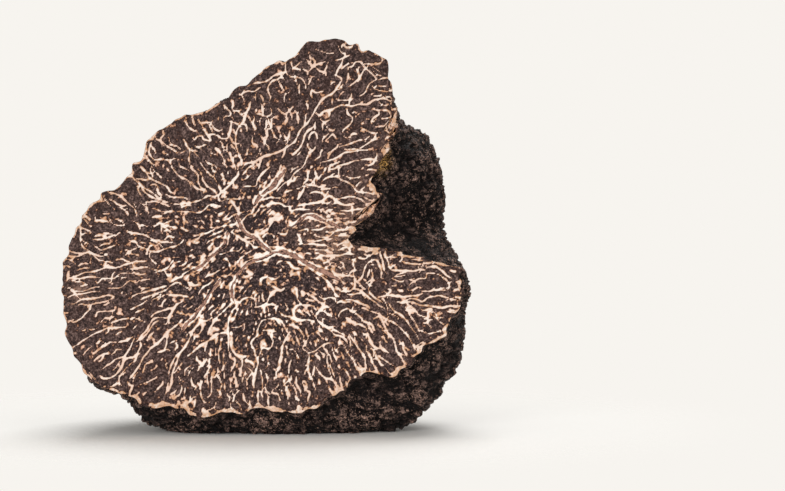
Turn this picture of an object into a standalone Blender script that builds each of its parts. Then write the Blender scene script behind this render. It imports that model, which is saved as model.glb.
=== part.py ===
"""Half of a black truffle, cut through and standing on its rind: one grown piece, so one solid.

Metres, +Z up. The cut face is upright and looks along -Y. The origin is on the surface that the
truffle rests on, under the middle of its bounding box. Dimensions below are in millimetres.

The body is worked out around its heart line, which runs straight back along +Y from the point of
the cut face that the veins spread from. Angles run anticlockwise from +X as seen from the front.
"""

import math

import bmesh
import bpy
import numpy as np
from mathutils import Vector

MM = 0.001

DEPTH = 37.0  # from the cut face to the back of the body
HEART_HEIGHT = 25.1  # of the heart line above the surface that the truffle rests on
SWELL_START = 1.25  # 1 swells at once behind the cut edge, and more swells later
LOBES_BEGIN = 28.0  # profile angle in degrees from which the lobes stand at their full height
FULLNESS = 0.72  # 1 closes the back as an ellipse, and less keeps the sides fuller
BACK_DRIFT = (3.0, 2.0)  # how far the back end lies right of the heart line and above it

SIDES = 96  # points round each ring
RINGS = 26  # rings from the cut edge to the back

# Edge of the cut: (angle in degrees, radius from the heart line in mm)
CUT_EDGE = (
    (-174, 28.0), (-166, 28.5), (-160, 29.1), (-155, 29.3), (-150, 29.0), (-143, 28.3),
    (-135, 26.5), (-125, 24.6), (-115, 23.1), (-104, 22.2), (-92, 21.5), (-82, 21.7),
    (-69, 23.3), (-58, 23.9), (-48, 24.4), (-38, 25.1), (-31, 28.8), (-22, 30.9), (-15, 33.4),
    (-8, 35.6), (-1, 35.5), (4, 33.2), (8, 27.6), (11, 24.6), (13.5, 21.3), (17, 19.6),
    (24, 20.2), (28, 23.0), (32, 26.0), (37, 27.2), (41, 29.6), (44, 33.6), (48, 37.9),
    (54, 40.8), (60, 42.2), (65, 42.0), (70, 40.7), (75, 37.7), (81, 35.0), (89, 31.0),
    (99, 28.2), (110, 27.4), (120, 26.9), (130, 25.0), (136, 24.0), (141, 23.8), (145.5, 23.6),
    (150, 25.4), (154, 26.5), (163, 27.4), (171, 27.9), (180, 28.0),
)  # fmt: skip

# Girth of the body behind the cut, in the same way
GIRTH = (
    (-180, 26.2), (-165, 27.2), (-150, 28.2), (-138, 28.3), (-128, 28.5), (-118, 28.6),
    (-105, 29.4), (-90, 30.4), (-75, 31.2), (-60, 32.8), (-48, 34.8), (-40, 36.4), (-32, 37.4),
    (-24, 37.9), (-12, 37.6), (0, 36.7), (10, 35.6), (20, 37.0), (30, 38.2), (38, 38.4),
    (44, 36.8), (50, 35.4), (56, 36.6), (62, 38.2), (72, 36.2), (82, 31.8), (92, 28.4),
    (105, 26.0), (120, 24.8), (140, 22.4), (160, 25.0),
)  # fmt: skip

# How far behind the cut the body reaches its girth, in mm, in the same way
SWELL = ((-150, 9.0), (-90, 7.5), (-35, 8.0), (-5, 10.0), (18, 17.0), (45, 13.0), (90, 12.0))

# Lobes that stand out of the body and hollows between them:
# (angle, profile angle from the cut, height in mm, reach in mm)
LOBES = (
    (34, 34, 0.8, 9.0),
    (-30, 44, 1.0, 12.0),
    (118, 46, 1.0, 12.0),
    (-150, 50, 1.2, 11.0),
    (70, 62, 2.2, 10.0),
    (-80, 66, 1.6, 10.0),
    (18, 13, -4.5, 5.5),
    (6, 44, -2.2, 7.5),
    (10, 66, -4.6, 7.5),
    (64, 84, -3.4, 7.0),
    (160, 74, -2.6, 7.5),
    (172, 44, -2.2, 7.5),
    (86, 40, -1.8, 7.0),
)

RIND_COLOUR = (0.021, 0.015, 0.013, 1.0)
FLESH_COLOUR = (0.12, 0.075, 0.062, 1.0)


def radius_around(outline, angles):
    """Radius at each angle on a smooth closed curve through an outline's points."""
    knots, radii = np.array(outline, float).T
    knots = np.concatenate((knots - 360, knots, knots + 360))
    radii = np.tile(radii, 3)
    slopes = np.gradient(radii, knots)
    i = np.searchsorted(knots, angles, side="right") - 1
    span = knots[i + 1] - knots[i]
    t = (angles - knots[i]) / span
    return (
        (1 + 2 * t) * (1 - t) ** 2 * radii[i]
        + t * (1 - t) ** 2 * span * slopes[i]
        + t**2 * (3 - 2 * t) * radii[i + 1]
        + t**2 * (t - 1) * span * slopes[i + 1]
    )


def ease(t):
    """0 to 1 with a smooth start and end, and level outside that range."""
    t = np.clip(t, 0, 1)
    return t * t * (3 - 2 * t)


def plain_body(angle, profile):
    """Points of the body before its lobes, in mm, at angles and profile angles in degrees.

    The radius swells from the cut edge to the girth along a sine, and closes at the back along
    an ellipse that FULLNESS makes fuller.
    """
    a, p = np.radians(angle), np.radians(profile)
    depth = DEPTH * np.sin(p)
    cut, girth = radius_around(CUT_EDGE, angle), radius_around(GIRTH, angle)
    swell = np.clip(depth / radius_around(SWELL, angle), 0, 1)
    radius = cut + (girth - cut) * np.sin(swell * math.pi / 2) ** SWELL_START
    radius = radius * np.clip(np.cos(p), 0, 1) ** FULLNESS
    drift = np.sin(p) ** 2
    x = radius * np.cos(a) + BACK_DRIFT[0] * drift
    z = radius * np.sin(a) + BACK_DRIFT[1] * drift
    return np.stack((x, depth, z), axis=-1)


def body(angle, profile):
    """Points of the body with its lobes and hollows, which fade out towards the cut edge."""
    points = plain_body(angle, profile)
    middle = np.array((0.0, DEPTH * 0.3, 0.0))
    outward = points - middle
    outward = outward / np.linalg.norm(outward, axis=-1, keepdims=True)
    height = np.zeros(points.shape[:-1])
    for lobe_angle, lobe_profile, rise, reach in LOBES:
        top = plain_body(np.array([float(lobe_angle)]), np.array([float(lobe_profile)]))
        away = np.linalg.norm(points - top[0], axis=-1)
        height = height + rise * np.exp(-((away / reach) ** 2))
    height = height * ease(profile / LOBES_BEGIN)
    return points + outward * height[..., None]


def body_mesh():
    """The closed body as a bmesh, in mm: rings of quads, a flat cut face and a back point."""
    angles = np.arange(SIDES) * 360 / SIDES - 180
    profiles = np.arange(RINGS) * 90 / RINGS
    grid = body(*np.meshgrid(angles, profiles))
    back = body(np.array([0.0]), np.array([90.0]))[0]

    bm = bmesh.new()
    rings = [[bm.verts.new(point) for point in ring] for ring in grid]
    for ring, behind in zip(rings, rings[1:]):
        for i in range(SIDES):
            j = (i + 1) % SIDES
            bm.faces.new((ring[i], ring[j], behind[j], behind[i])).smooth = True
    end = bm.verts.new(back)
    for i in range(SIDES):
        bm.faces.new((rings[-1][i], rings[-1][(i + 1) % SIDES], end)).smooth = True
    bm.faces.new(rings[0]).material_index = 1  # flat, with the colour of the flesh
    bmesh.ops.recalc_face_normals(bm, faces=bm.faces)
    return bm


def flatten_base(bm):
    """Cuts the body off level where it rests and closes the cut with one flat face."""
    everything = list(bm.verts) + list(bm.edges) + list(bm.faces)
    cut = bmesh.ops.bisect_plane(
        bm,
        geom=everything,
        dist=1e-5,
        plane_co=(0, 0, -HEART_HEIGHT),
        plane_no=(0, 0, -1),
        clear_outer=True,
    )
    rim = [e for e in cut["geom_cut"] if isinstance(e, bmesh.types.BMEdge)]
    filled = bmesh.ops.edgeloop_fill(bm, edges=rim)
    for face in filled["faces"]:
        face.smooth = False
    bmesh.ops.recalc_face_normals(bm, faces=bm.faces)


def centre_over_origin(bm):
    """Moves the body so that the middle of its base is the origin, and turns mm to metres."""
    places = np.array([v.co for v in bm.verts])
    low, high = places.min(axis=0), places.max(axis=0)
    middle = (low + high) / 2
    bmesh.ops.translate(bm, verts=bm.verts, vec=Vector((-middle[0], -middle[1], -low[2])))
    bmesh.ops.scale(bm, verts=bm.verts, vec=(MM, MM, MM))


def material(name, colour, roughness):
    """A plain matt material."""
    made = bpy.data.materials.new(name)
    made.use_nodes = True
    shader = made.node_tree.nodes["Principled BSDF"]
    shader.inputs["Base Color"].default_value = colour
    shader.inputs["Roughness"].default_value = roughness
    made.diffuse_color = colour
    return made


def main():
    for old in list(bpy.data.objects):
        bpy.data.objects.remove(old)
    bm = body_mesh()
    flatten_base(bm)
    centre_over_origin(bm)
    mesh = bpy.data.meshes.new("truffle_half")
    bm.to_mesh(mesh)
    bm.free()
    mesh.materials.append(material("rind", RIND_COLOUR, 0.8))
    mesh.materials.append(material("cut_flesh", FLESH_COLOUR, 0.7))
    mesh.set_sharp_from_angle(angle=math.radians(50))
    truffle = bpy.data.objects.new("truffle_half", mesh)
    bpy.context.scene.collection.objects.link(truffle)


main()
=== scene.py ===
"""Looks of half a black truffle, cut through and standing on its rind.

The truffle is worked out in millimetres around its heart, the point of the cut face that the
veins spread from: x to the right, y into the body and z up. Angles run anticlockwise from +X as
seen from the front. Placement turns these places into the frame's metres.
"""

import logging
import math
from collections.abc import Sequence
from dataclasses import dataclass
from enum import Enum
from functools import cached_property

import bpy
import numpy as np
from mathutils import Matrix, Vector


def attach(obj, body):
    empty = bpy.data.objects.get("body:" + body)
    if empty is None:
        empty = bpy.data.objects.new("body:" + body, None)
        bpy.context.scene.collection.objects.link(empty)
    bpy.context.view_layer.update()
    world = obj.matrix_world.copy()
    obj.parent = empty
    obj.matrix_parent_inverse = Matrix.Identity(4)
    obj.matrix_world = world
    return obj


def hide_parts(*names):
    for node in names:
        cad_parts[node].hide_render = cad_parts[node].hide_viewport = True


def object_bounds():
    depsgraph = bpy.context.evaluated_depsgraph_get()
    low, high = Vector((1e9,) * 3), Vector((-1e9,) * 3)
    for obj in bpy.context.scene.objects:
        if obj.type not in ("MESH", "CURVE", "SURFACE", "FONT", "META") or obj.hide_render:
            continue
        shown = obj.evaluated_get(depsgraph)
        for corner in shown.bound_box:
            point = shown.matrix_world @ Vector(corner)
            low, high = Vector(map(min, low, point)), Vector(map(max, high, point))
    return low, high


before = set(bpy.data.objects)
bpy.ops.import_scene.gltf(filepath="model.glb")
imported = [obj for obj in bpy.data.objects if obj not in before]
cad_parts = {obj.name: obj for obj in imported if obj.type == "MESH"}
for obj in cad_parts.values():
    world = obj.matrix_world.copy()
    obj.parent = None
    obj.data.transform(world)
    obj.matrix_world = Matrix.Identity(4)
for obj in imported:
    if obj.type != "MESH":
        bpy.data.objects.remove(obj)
CAD_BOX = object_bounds()

log = logging.getLogger("truffle")

MM = 0.001
NODE = "truffle_half"
BODY = "root"

# Span of the grids that the cut face is worked out on, in mm
ACROSS = (-33, 40)
UPRIGHT = (-27, 43)

Colour = tuple[float, float, float]
Place = tuple[float, float]  # x and z in mm
Route = Sequence[Place]
Vein = tuple[float | Place, ...]  # width in mm, and then the places that the vein runs through
Outline = tuple[tuple[float, float], ...]  # angles in degrees, and a number at each
Patches = tuple[tuple[float, float, float, float], ...]  # x, z and reach in mm, and an amount
Mix = tuple[tuple[float, float, int], ...]  # strengths, sizes in mm and seeds of clouds

# Edge of the cut: (angle in degrees, radius from the heart in mm)
CUT_EDGE: Outline = (
    (-174, 28.0), (-166, 28.5), (-160, 29.1), (-155, 29.3), (-150, 29.0), (-143, 28.3),
    (-135, 26.5), (-125, 24.6), (-115, 23.1), (-104, 22.2), (-92, 21.5), (-82, 21.7),
    (-69, 23.3), (-58, 23.9), (-48, 24.4), (-38, 25.1), (-31, 28.8), (-22, 30.9), (-15, 33.4),
    (-8, 35.6), (-1, 35.5), (4, 33.2), (8, 27.6), (11, 24.6), (13.5, 21.3), (17, 19.6),
    (24, 20.2), (28, 23.0), (32, 26.0), (37, 27.2), (41, 29.6), (44, 33.6), (48, 37.9),
    (54, 40.8), (60, 42.2), (65, 42.0), (70, 40.7), (75, 37.7), (81, 35.0), (89, 31.0),
    (99, 28.2), (110, 27.4), (120, 26.9), (130, 25.0), (136, 24.0), (141, 23.8), (145.5, 23.6),
    (150, 25.4), (154, 26.5), (163, 27.4), (171, 27.9), (180, 28.0),
)  # fmt: skip

# Girth of the body behind the cut, in the same way
GIRTH: Outline = (
    (-180, 26.2), (-165, 27.2), (-150, 28.2), (-138, 28.3), (-128, 28.5), (-118, 28.6),
    (-105, 29.4), (-90, 30.4), (-75, 31.2), (-60, 32.8), (-48, 34.8), (-40, 36.4), (-32, 37.4),
    (-24, 37.9), (-12, 37.6), (0, 36.7), (10, 35.6), (20, 37.0), (30, 38.2), (38, 38.4),
    (44, 36.8), (50, 35.4), (56, 36.6), (62, 38.2), (72, 36.2), (82, 31.8), (92, 28.4),
    (105, 26.0), (120, 24.8), (140, 22.4), (160, 25.0),
)  # fmt: skip

# How far behind the cut the body reaches its girth, in mm, in the same way
SWELL: Outline = (
    (-150, 9.0), (-90, 7.5), (-35, 8.0), (-5, 10.0), (18, 17.0), (45, 13.0), (90, 12.0),
)  # fmt: skip

# Lobes of the body and hollows between them:
# (angle, profile angle from the cut, height in mm, reach in mm)
LOBES = (
    (34, 34, 0.8, 9.0), (-30, 44, 1.0, 12.0), (118, 46, 1.0, 12.0), (-150, 50, 1.2, 11.0),
    (70, 62, 2.2, 10.0), (-80, 66, 1.6, 10.0), (18, 13, -4.5, 5.5), (6, 44, -2.2, 7.5),
    (10, 66, -4.6, 7.5), (64, 84, -3.4, 7.0), (160, 74, -2.6, 7.5), (172, 44, -2.2, 7.5),
    (86, 40, -1.8, 7.0),
)  # fmt: skip

# Which way the flesh is drawn out: (x, z, angle in degrees) of arrows spread over the cut
GROWTH = (
    (16, 30, 62), (12, 22, 60), (8, 16, 55), (3, 10, 48), (-3, 4, 38), (-9, -3, 38),
    (-14, -7, 42), (-22, 1, 4), (-26, 0, 2), (-24, -5, 12), (-22, -10, 26), (-16, -12, 48),
    (-11, -16, 66), (-4, -15, 85), (-2, -20, 90), (4, -18, 92), (10, -18, 100), (14, -12, 112),
    (16, -15, 112), (20, -10, 130), (24, -8, 145), (28, -4, 170), (30, 0, 176), (33, -3, 178),
    (26, 3, 8), (20, -2, 148), (14, -1, 150), (8, 2, 160), (16, 6, 172), (20, 10, 12),
    (22, 16, 14), (20, 22, 18), (24, 26, 12), (26, 30, 150), (22, 36, 20), (14, 37, 100),
    (8, 33, 110), (3, 28, 95), (9, 27, 100), (-2, 25, 120), (-6, 22, 125), (-10, 19, 135),
    (-14, 16, 140), (-18, 12, 150), (-22, 8, 160), (-26, 6, 168), (-12, 8, 170), (-8, 12, 150),
    (-16, 2, 0), (2, 16, 80), (-2, -4, 60), (4, -6, 100), (8, -6, 120), (0, 0, 45),
)  # fmt: skip

# Patches where small veins are sparse (above 0) or crowded (below 0): (x, z, reach, amount)
PATCHES: Patches = (
    (28, -4, 8, -0.3), (5, 3, 6, 0.2), (6, -12, 9, -0.35), (17, -11, 6, -0.5), (14, 32, 13, 0.45),
    (-20, -4, 8, 0.5), (-22, 6, 8, 0.5), (-6, 22, 8, 0.05), (15, 9, 6, -0.45), (-24, -7, 9, 0.4),
    (-16, -16, 7, 0.3),
)  # fmt: skip

# How far the scallops of the cut edge stand in and out in mm, by angle in degrees
SCALLOPS: Outline = (
    (-170, 0.12), (-120, 0.2), (-60, 0.4), (-20, 0.35), (2, 0.45), (10, 0.6), (18, 0.6), (34, 0.7),
    (43, 0.7), (49, 0.4), (58, 0.45), (72, 0.4), (90, 0.18), (140, 0.12),
)  # fmt: skip

# Bumps (above 0) and nicks of the cut edge: (angle in degrees, height in mm, reach in degrees)
NICKS = (
    (-162, 0.9, 2.5), (-127, 0.7, 4.0), (12.8, 1.0, 1.3), (26.2, 0.9, 1.0), (29, -0.9, 0.9),
    (31.2, 0.9, 1.0), (46.2, -1.5, 1.2), (56.5, 0.7, 1.6), (61.8, -1.0, 0.8), (64.8, -1.1, 1.0),
    (78, -0.6, 1.5), (90.3, 0.7, 1.2), (124, 0.6, 2.0), (129, -0.4, 2.0), (132, 0.8, 1.5),
    (138, 0.5, 2.0), (146, 1.3, 3.5), (152.5, 0.9, 2.0), (166, 0.7, 3.5),
)  # fmt: skip

# Width in mm of the lumpy pale band along the rim of the cut, by angle in degrees
RIM_BAND: Outline = (
    (-180, 0.05), (-160, 0.1), (-146, 0.15), (-134, 0.35), (-115, 0.5), (-95, 0.4), (-75, 0.4),
    (-55, 0.5), (-38, 0.45), (-22, 0.3), (-5, 0.25), (4, 0.2), (12, 0.2), (18, 0.45), (28, 0.4),
    (40, 0.4), (48, 0.2), (60, 0.1), (90, 0.08), (135, 0.08), (165, 0.08),
)  # fmt: skip

# Patches where the flesh itself is pale and warm: (x, z, reach, amount)
PALE_PATCHES: Patches = (
    (18, 8.5, 3.5, 0.7), (14.5, 4.2, 2.6, 0.7), (11, 7, 3.0, 0.3), (21, 15, 3.0, 0.35),
    (24, 21, 2.2, 0.4), (-26, -2, 1.6, 0.6), (-16, 1.5, 1.6, 0.4), (1, -14, 1.6, 0.4),
)  # fmt: skip

# Brown channels with pale sides that run out from the heart, as width and points like the veins
CHANNELS: tuple[Vein, ...] = (
    (0.6, (-0.4, 10.9), (-0.3, 9.6), (0.7, 7.7), (2.4, 6.7), (3.7, 5.5), (5.3, 4.5)),
    (0.85, (5.3, 4.5), (7.5, 4.4), (9.6, 3.2), (11.7, 2.0), (13.9, 1.1), (16, 0)),
    (0.6, (-1.9, 7.7), (-2.4, 6.1), (-4, 4.3), (-6.1, 2.4), (-8, 1.1)),
    (0.5, (5.3, 4.3), (3.2, 3.5), (1.1, 2.4), (-0.5, 0.8), (-1.3, -1.1), (-1.3, -2.7), (-0.8, -3.7)),
    (0.8, (2.1, 12), (3.2, 13.3), (4.8, 14.4), (5.9, 16), (7.2, 17.6)),
    (0.6, (6.9, 8), (9.1, 9.3), (10.9, 10.4), (13.1, 9.6), (15.2, 8.8), (16, 8)),
    (0.5, (-3.2, 0), (-5, -2.7), (-7.1, -5.4), (-9.5, -8.2)),
)

# Lanes of bare dark flesh, as width and points like the veins
LANES: tuple[Vein, ...] = (
    (1.8, (-15, -9.5), (-10.4, -4.5), (-6.8, -0.9), (-3.2, 1.3)),
    (1.6, (0.5, 11.5), (3, 15), (8, 18.5), (12, 23.5)),
    (1.3, (-12, 7.2), (-7, 8.6), (-3, 10.2)),
)

# Veins that the eye follows, by the part of the cut face that they run through
MAIN_VEINS: tuple[Vein, ...] = (
    # Left
    (0.28, (-27.4, 0.3), (-25, 0.1), (-23.5, 0.4), (-21.5, 0.2), (-20, 0.3), (-19.3, 0.8), (-17, 0.9)),
    (0.3, (-27.4, 0.5), (-25, 0.9), (-21.5, 1.9), (-18.8, 2.1), (-17.5, 2.5), (-16.3, 3.3)),
    (0.32, (-18, 1.4), (-15, 2.1), (-12.8, 1.4), (-12.1, 1.8), (-10.4, 3.3)),
    (0.36, (-12.2, 1.7), (-11.6, 0.9), (-11, 1.2)),
    (0.55, (-27.5, 1.5), (-27.4, 0.5), (-27.6, -0.3)),
    (0.3, (-25.8, 9), (-25.3, 7.8), (-25.4, 6), (-24.9, 5), (-24.2, 4.3), (-23.8, 2.3)),
    (0.32, (-28, 4.5), (-26.5, 4.5), (-25, 4.2), (-22.5, 4.1), (-21.3, 4.3)),
    (0.32, (-27.8, 3.9), (-26.8, 3.7), (-24.4, 4.2)),
    (0.36, (-24, 4.2), (-22.4, 3.2), (-20.2, 2.9)),
    (0.26, (-25.9, 1.6), (-24, 1.9)),
    (0.4, (-22.6, 2.3), (-20.2, 2)),
    (0.34, (-26, 8.7), (-23.6, 7.8)),
    (0.8, (-23.2, 7.2), (-22.2, 7.3), (-21.4, 7)),
    (0.34, (-22, 7.7), (-20.1, 6.9)),
    (0.34, (-23.6, 6.7), (-22.4, 6.6), (-21, 6.8)),
    (0.26, (-25.5, 9.8), (-23.5, 8.5)),
    (0.26, (-23.2, 5.6), (-22.3, 5.2), (-21.2, 5.2), (-19.8, 5.6)),
    (0.26, (-22.6, 5.5), (-21.6, 5.8), (-20.7, 5.8)),
    (0.26, (-20.8, 9.8), (-20.1, 9), (-19, 8.7), (-17.9, 8.8)),
    (0.28, (-17.5, 9.9), (-16.7, 9.2), (-16.3, 8.6), (-16.2, 8)),
    (0.3, (-18, 7.6), (-15.5, 7.2), (-14.7, 6.9)),
    (0.33, (-17, 6.5), (-16.5, 6), (-16, 5.2), (-14.2, 4.5), (-12.8, 4.6), (-11.6, 5.2),
     (-9.7, 5.9), (-8.8, 7)),
    (0.36, (-18.2, 3.8), (-17.4, 4.6), (-16, 5.2)),
    (0.3, (-14.3, 4.5), (-14.6, 3.8), (-14.2, 3.1), (-13.4, 2.6)),
    (0.28, (-20.8, -1.5), (-19, -1.2), (-18.4, -0.7), (-17.6, -0.3), (-16.8, -0.5), (-16, -0.1)),
    (0.24, (-26.1, -1.2), (-24, -0.7)),
    (0.28, (-27.8, -2), (-25.5, -1.9), (-22.3, -1.1)),
    (0.28, (-27.5, -2.9), (-26, -2.4), (-22.4, -1.9)),
    (0.3, (-27.6, -4), (-26.5, -3.7), (-25.5, -3.2), (-22, -2.7), (-20.6, -2.6), (-20.1, -2.9),
     (-21, -3.3), (-23.9, -4), (-24.1, -4.7), (-24.6, -5.5), (-25.6, -6.4), (-27.5, -6.8)),
    (0.34, (-23.1, -6), (-22.9, -5.3), (-21.5, -5), (-20.3, -5), (-19.8, -4.7)),
    (0.26, (-20.3, -5.1), (-20.6, -5.9), (-22, -6.4), (-22.4, -6.9)),
    (0.26, (-21, -7), (-18.3, -6.2), (-17.3, -6.2)),
    (0.28, (-27.2, -11.2), (-25, -9.8), (-22, -8.3), (-20.5, -7.7), (-18.4, -7.6)),
    (0.22, (-25.2, -8.7), (-24.2, -8.2), (-23, -7.9)),
    (0.38, (-22.3, -11), (-21.1, -10), (-20.3, -9.9)),
    (0.26, (-25.2, -11.9), (-23.7, -10.8)),
    (0.24, (-23.5, -13), (-22.7, -12.3), (-21.2, -11.5)),
    (0.24, (-21, -12.2), (-20.3, -11.8), (-19.8, -11.2), (-19, -11.2)),
    # Lower left
    (0.34, (-17.4, -2.9), (-16.5, -2.3), (-13.5, -1.5), (-11.2, -0.7)),
    (0.34, (-16, -3.2), (-14.5, -2.5), (-13, -2.1), (-11.8, -1.6), (-10.8, -0.8), (-9.8, -0.5),
     (-7.9, -1.7)),
    (0.28, (-17.8, -4.7), (-17, -4.5), (-14.7, -3.1)),
    (0.3, (-14.5, -4.1), (-14, -3.2), (-13.2, -2.9), (-12.4, -2.1)),
    (0.5, (-16.8, -5.3), (-15.3, -4.6)),
    (0.44, (-14.2, -6.2), (-13.6, -5.5), (-12.7, -5), (-11.5, -4.6), (-10.5, -4.5), (-10.1, -3.9),
     (-9.3, -3.4)),
    (0.44, (-11.6, -2.6), (-9.4, -2.5), (-8.2, -2.6)),
    (0.34, (-17, -9.3), (-18.6, -12.4), (-19.6, -15)),
    (0.34, (-17, -9.9), (-16.2, -9.4), (-13.8, -6.5), (-12.5, -6.1), (-11.8, -6.2), (-10.2, -4.4)),
    (0.4, (-16.1, -9.6), (-15.3, -9), (-13.8, -7.2), (-12.9, -6.6)),
    (0.34, (-16.1, -9.6), (-16, -10.7), (-16.5, -11.8), (-17.8, -12.4), (-18.7, -13.1),
     (-19.8, -15.2), (-21.2, -15.9), (-21.9, -15.9), (-22.4, -15.3)),
    (0.3, (-18.6, -12.5), (-19.8, -12.7), (-20.7, -13.5), (-21.6, -13.8), (-22.2, -14.4), (-22.6, -14.1)),
    (0.26, (-18.1, -13.7), (-18.7, -14.6), (-19.3, -15.9), (-19.3, -17)),
    (0.4, (-10.1, -7.2), (-11.2, -8), (-12, -9), (-14.1, -10.8), (-16.4, -14), (-17.9, -16)),
    (0.4, (-11.7, -8.3), (-11.6, -9.8), (-11.9, -11)),
    (0.4, (-18, -16.2), (-17.6, -16.8), (-17.2, -17), (-17.8, -18.7), (-16.8, -19.2), (-15.8, -19.5)),
    (0.42, (-6.3, -6.5), (-8.3, -9.7), (-10, -12.2), (-10.8, -15), (-11, -16.5), (-11.6, -18)),
    (0.34, (-9.6, -11.4), (-10.9, -12.8), (-11.7, -15.7)),
    (0.3, (-11.6, -16.7), (-12, -18.7)),
    (0.3, (-24.3, -14.7), (-23, -16.3)),
    # Bottom
    (0.4, (0.6, 1.6), (-0.6, 0.8), (-1.2, -0.4), (-1.6, -1.6), (-1.5, -2.6), (-1, -3.4), (0, -3.7)),
    (0.34, (-1.4, -3.6), (-3.6, -6.2), (-5.3, -9)),
    (0.36, (-0.5, -4.3), (-1.4, -5.2), (-1.9, -6.8), (-2, -8.4), (-1.8, -11.2), (-1.3, -12.2)),
    (0.44, (0, -3.7), (1.3, -2.7), (2, -3), (2.5, -3.5)),
    (0.4, (-4.2, -6.2), (-5.2, -6.7), (-6.2, -6.7), (-6.9, -6.2)),
    (0.65, (-6.3, -6.7), (-6, -7.9), (-6.5, -8.8)),
    (0.5, (-2.2, -8.6), (-3.5, -8.8), (-4.7, -9.4), (-7, -11.2), (-8.7, -12.2)),
    (0.3, (-5.2, -9.9), (-6, -12)),
    (0.4, (-1.8, -7.7), (-0.6, -7.7), (0.3, -7.4)),
    (0.85, (-1.5, -8.2), (-1.2, -10.9), (-0.6, -11.8), (0.4, -12.2), (1.5, -12.4)),
    (0.38, (-3.4, -11.4), (-3.4, -12.6), (-3.2, -13.6)),
    (0.3, (-2.7, -12.6), (-2.5, -15.2), (-2.4, -18)),
    (0.3, (-3.1, -14.8), (-2, -13.2)),
    (0.28, (-0.8, -12.8), (-1.3, -15)),
    (0.28, (-5, -13.6), (-5.2, -15), (-5.1, -17.6)),
    (0.34, (-5.9, -13), (-6.9, -14.9)),
    (0.3, (-6.2, -16), (-6.4, -17), (-6.4, -18.2), (-5.9, -19.2), (-5.3, -19.6), (-4.7, -19.5)),
    (0.26, (-7, -16.4), (-6.4, -17), (-5.9, -16)),
    (0.26, (-7.8, -13.3), (-8.6, -14.3), (-8.9, -15.6)),
    (0.34, (-9.4, -17), (-9.6, -18.4), (-10.3, -19)),
    (0.28, (-8.9, -17.4), (-8.9, -19.6)),
    (0.34, (2.5, -14.6), (2.7, -13), (2, -11), (1.9, -10), (2.8, -9), (2.9, -8), (3.3, -6.8),
     (4, -6.3), (5.2, -6.1), (5.9, -6.5), (6.5, -7.5)),
    (0.55, (2.6, -14.2), (2.3, -16), (2.3, -17.4)),
    (0.34, (2.7, -12.6), (3.6, -11), (4.5, -11.2), (5.1, -10.7), (5.3, -9.8), (4.9, -9.2), (5.4, -7.6)),
    (0.44, (3.7, -8.2), (5.8, -8.3)),
    (0.34, (0.9, -13.8), (1.8, -14.6), (2.2, -15.4)),
    (0.3, (2.9, -14), (3.4, -15), (3.6, -17.2)),
    (0.34, (8.2, -8.2), (6.8, -10.6), (6.5, -12)),
    (0.75, (6.6, -11.6), (6.4, -13.4), (6, -14.8)),
    (0.26, (-0.6, -16), (-0.2, -17), (-0.3, -17.8)),
    (0.26, (0.6, -18.4), (0.9, -19.4), (1.4, -20.2)),
    (0.34, (2.8, -17.8), (3, -19.8), (4, -20.6)),
    (0.34, (3.9, -17.9), (4.4, -18.6), (4.4, -19.8), (4.9, -20.8), (5.8, -21.1), (7.5, -21)),
    (0.34, (-0.6, -19.4), (0, -20.1), (0.2, -20.9)),
    (0.34, (11, -11.8), (12, -11.3), (12.6, -10.7), (13.6, -10.2), (14.7, -10), (15.2, -10.1)),
    (0.34, (10.3, -8.8), (10.4, -10), (10.1, -10.9), (10.9, -11.8), (11.2, -12.6)),
    (0.75, (11.2, -12.5), (10.8, -13.6)),
    (0.3, (10.9, -13.8), (11, -14.8), (11.6, -16)),
    (0.4, (12.2, -14), (12.8, -15), (13.6, -15.8), (14.4, -15.9), (15, -16.6), (15.9, -17.3)),
    (0.3, (13.8, -11.9), (14.4, -15.8)),
    (0.34, (10.1, -16.2), (10.6, -16.6), (10.6, -17.6), (11.2, -18), (10.8, -18.9), (10.6, -20)),
    (0.3, (6.8, -16), (7.8, -18.4), (8, -19.2)),
    (0.3, (7.4, -15.2), (8.4, -17.2)),
    (0.33, (8.9, -15.6), (9.1, -16.8), (9.6, -17.6), (9.7, -18.8)),
    (0.28, (8.6, -17), (9, -18.6), (9.4, -19.4)),
    (0.3, (8.3, -12.8), (7.6, -15.2)),
    # Round the heart
    (0.3, (-17.2, 16.7), (-16, 15.5), (-12.8, 13), (-11.2, 12.4), (-9.5, 12.1), (-8, 12.2),
     (-5.5, 13.4), (-4.2, 13.4), (-3, 14), (-0.6, 15.9), (-0.2, 17.2), (-0.4, 18)),
    (0.3, (-12.2, 10.8), (-10.5, 10.9), (-7, 10.7), (-6.2, 11.1), (-5.4, 11.9), (-4.4, 12.1), (-3.6, 12)),
    (0.28, (-3.4, 13.5), (-3.1, 12.7), (-1.9, 12.9), (0.2, 13)),
    (0.38, (-1.4, 12.7), (-0.3, 11.1), (-0.5, 9.2)),
    (0.36, (-4.8, 11.8), (-4, 12.2), (-2.8, 12)),
    (0.36, (0.7, 10.9), (-0.2, 10.7), (-2, 9.6)),
    (0.28, (-3.8, 8.1), (-3.2, 8.5), (-1.8, 8.6), (-0.8, 9), (-0.4, 9.6)),
    (0.36, (0.9, 10.1), (0.4, 9.6), (0.2, 9), (0.7, 8.1), (3, 6.9), (3.7, 6), (5.3, 4.5)),
    (0.44, (0.9, 10.2), (1.8, 10.7), (2.1, 11.5), (2.2, 12.4), (2.9, 13.2), (4.9, 14)),
    (0.62, (4.2, 13.6), (5.8, 15), (6.8, 17.4)),
    (0.7, (3.2, 14.3), (3.5, 13.5), (4.4, 13.4)),
    (0.4, (3.7, 12.8), (6.5, 13.2), (7, 12.7)),
    (0.36, (3.3, 11.6), (5.8, 12.3), (7, 11.9), (8, 11.8), (8.2, 11.1), (9.6, 11.4), (11.4, 11.4)),
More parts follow.
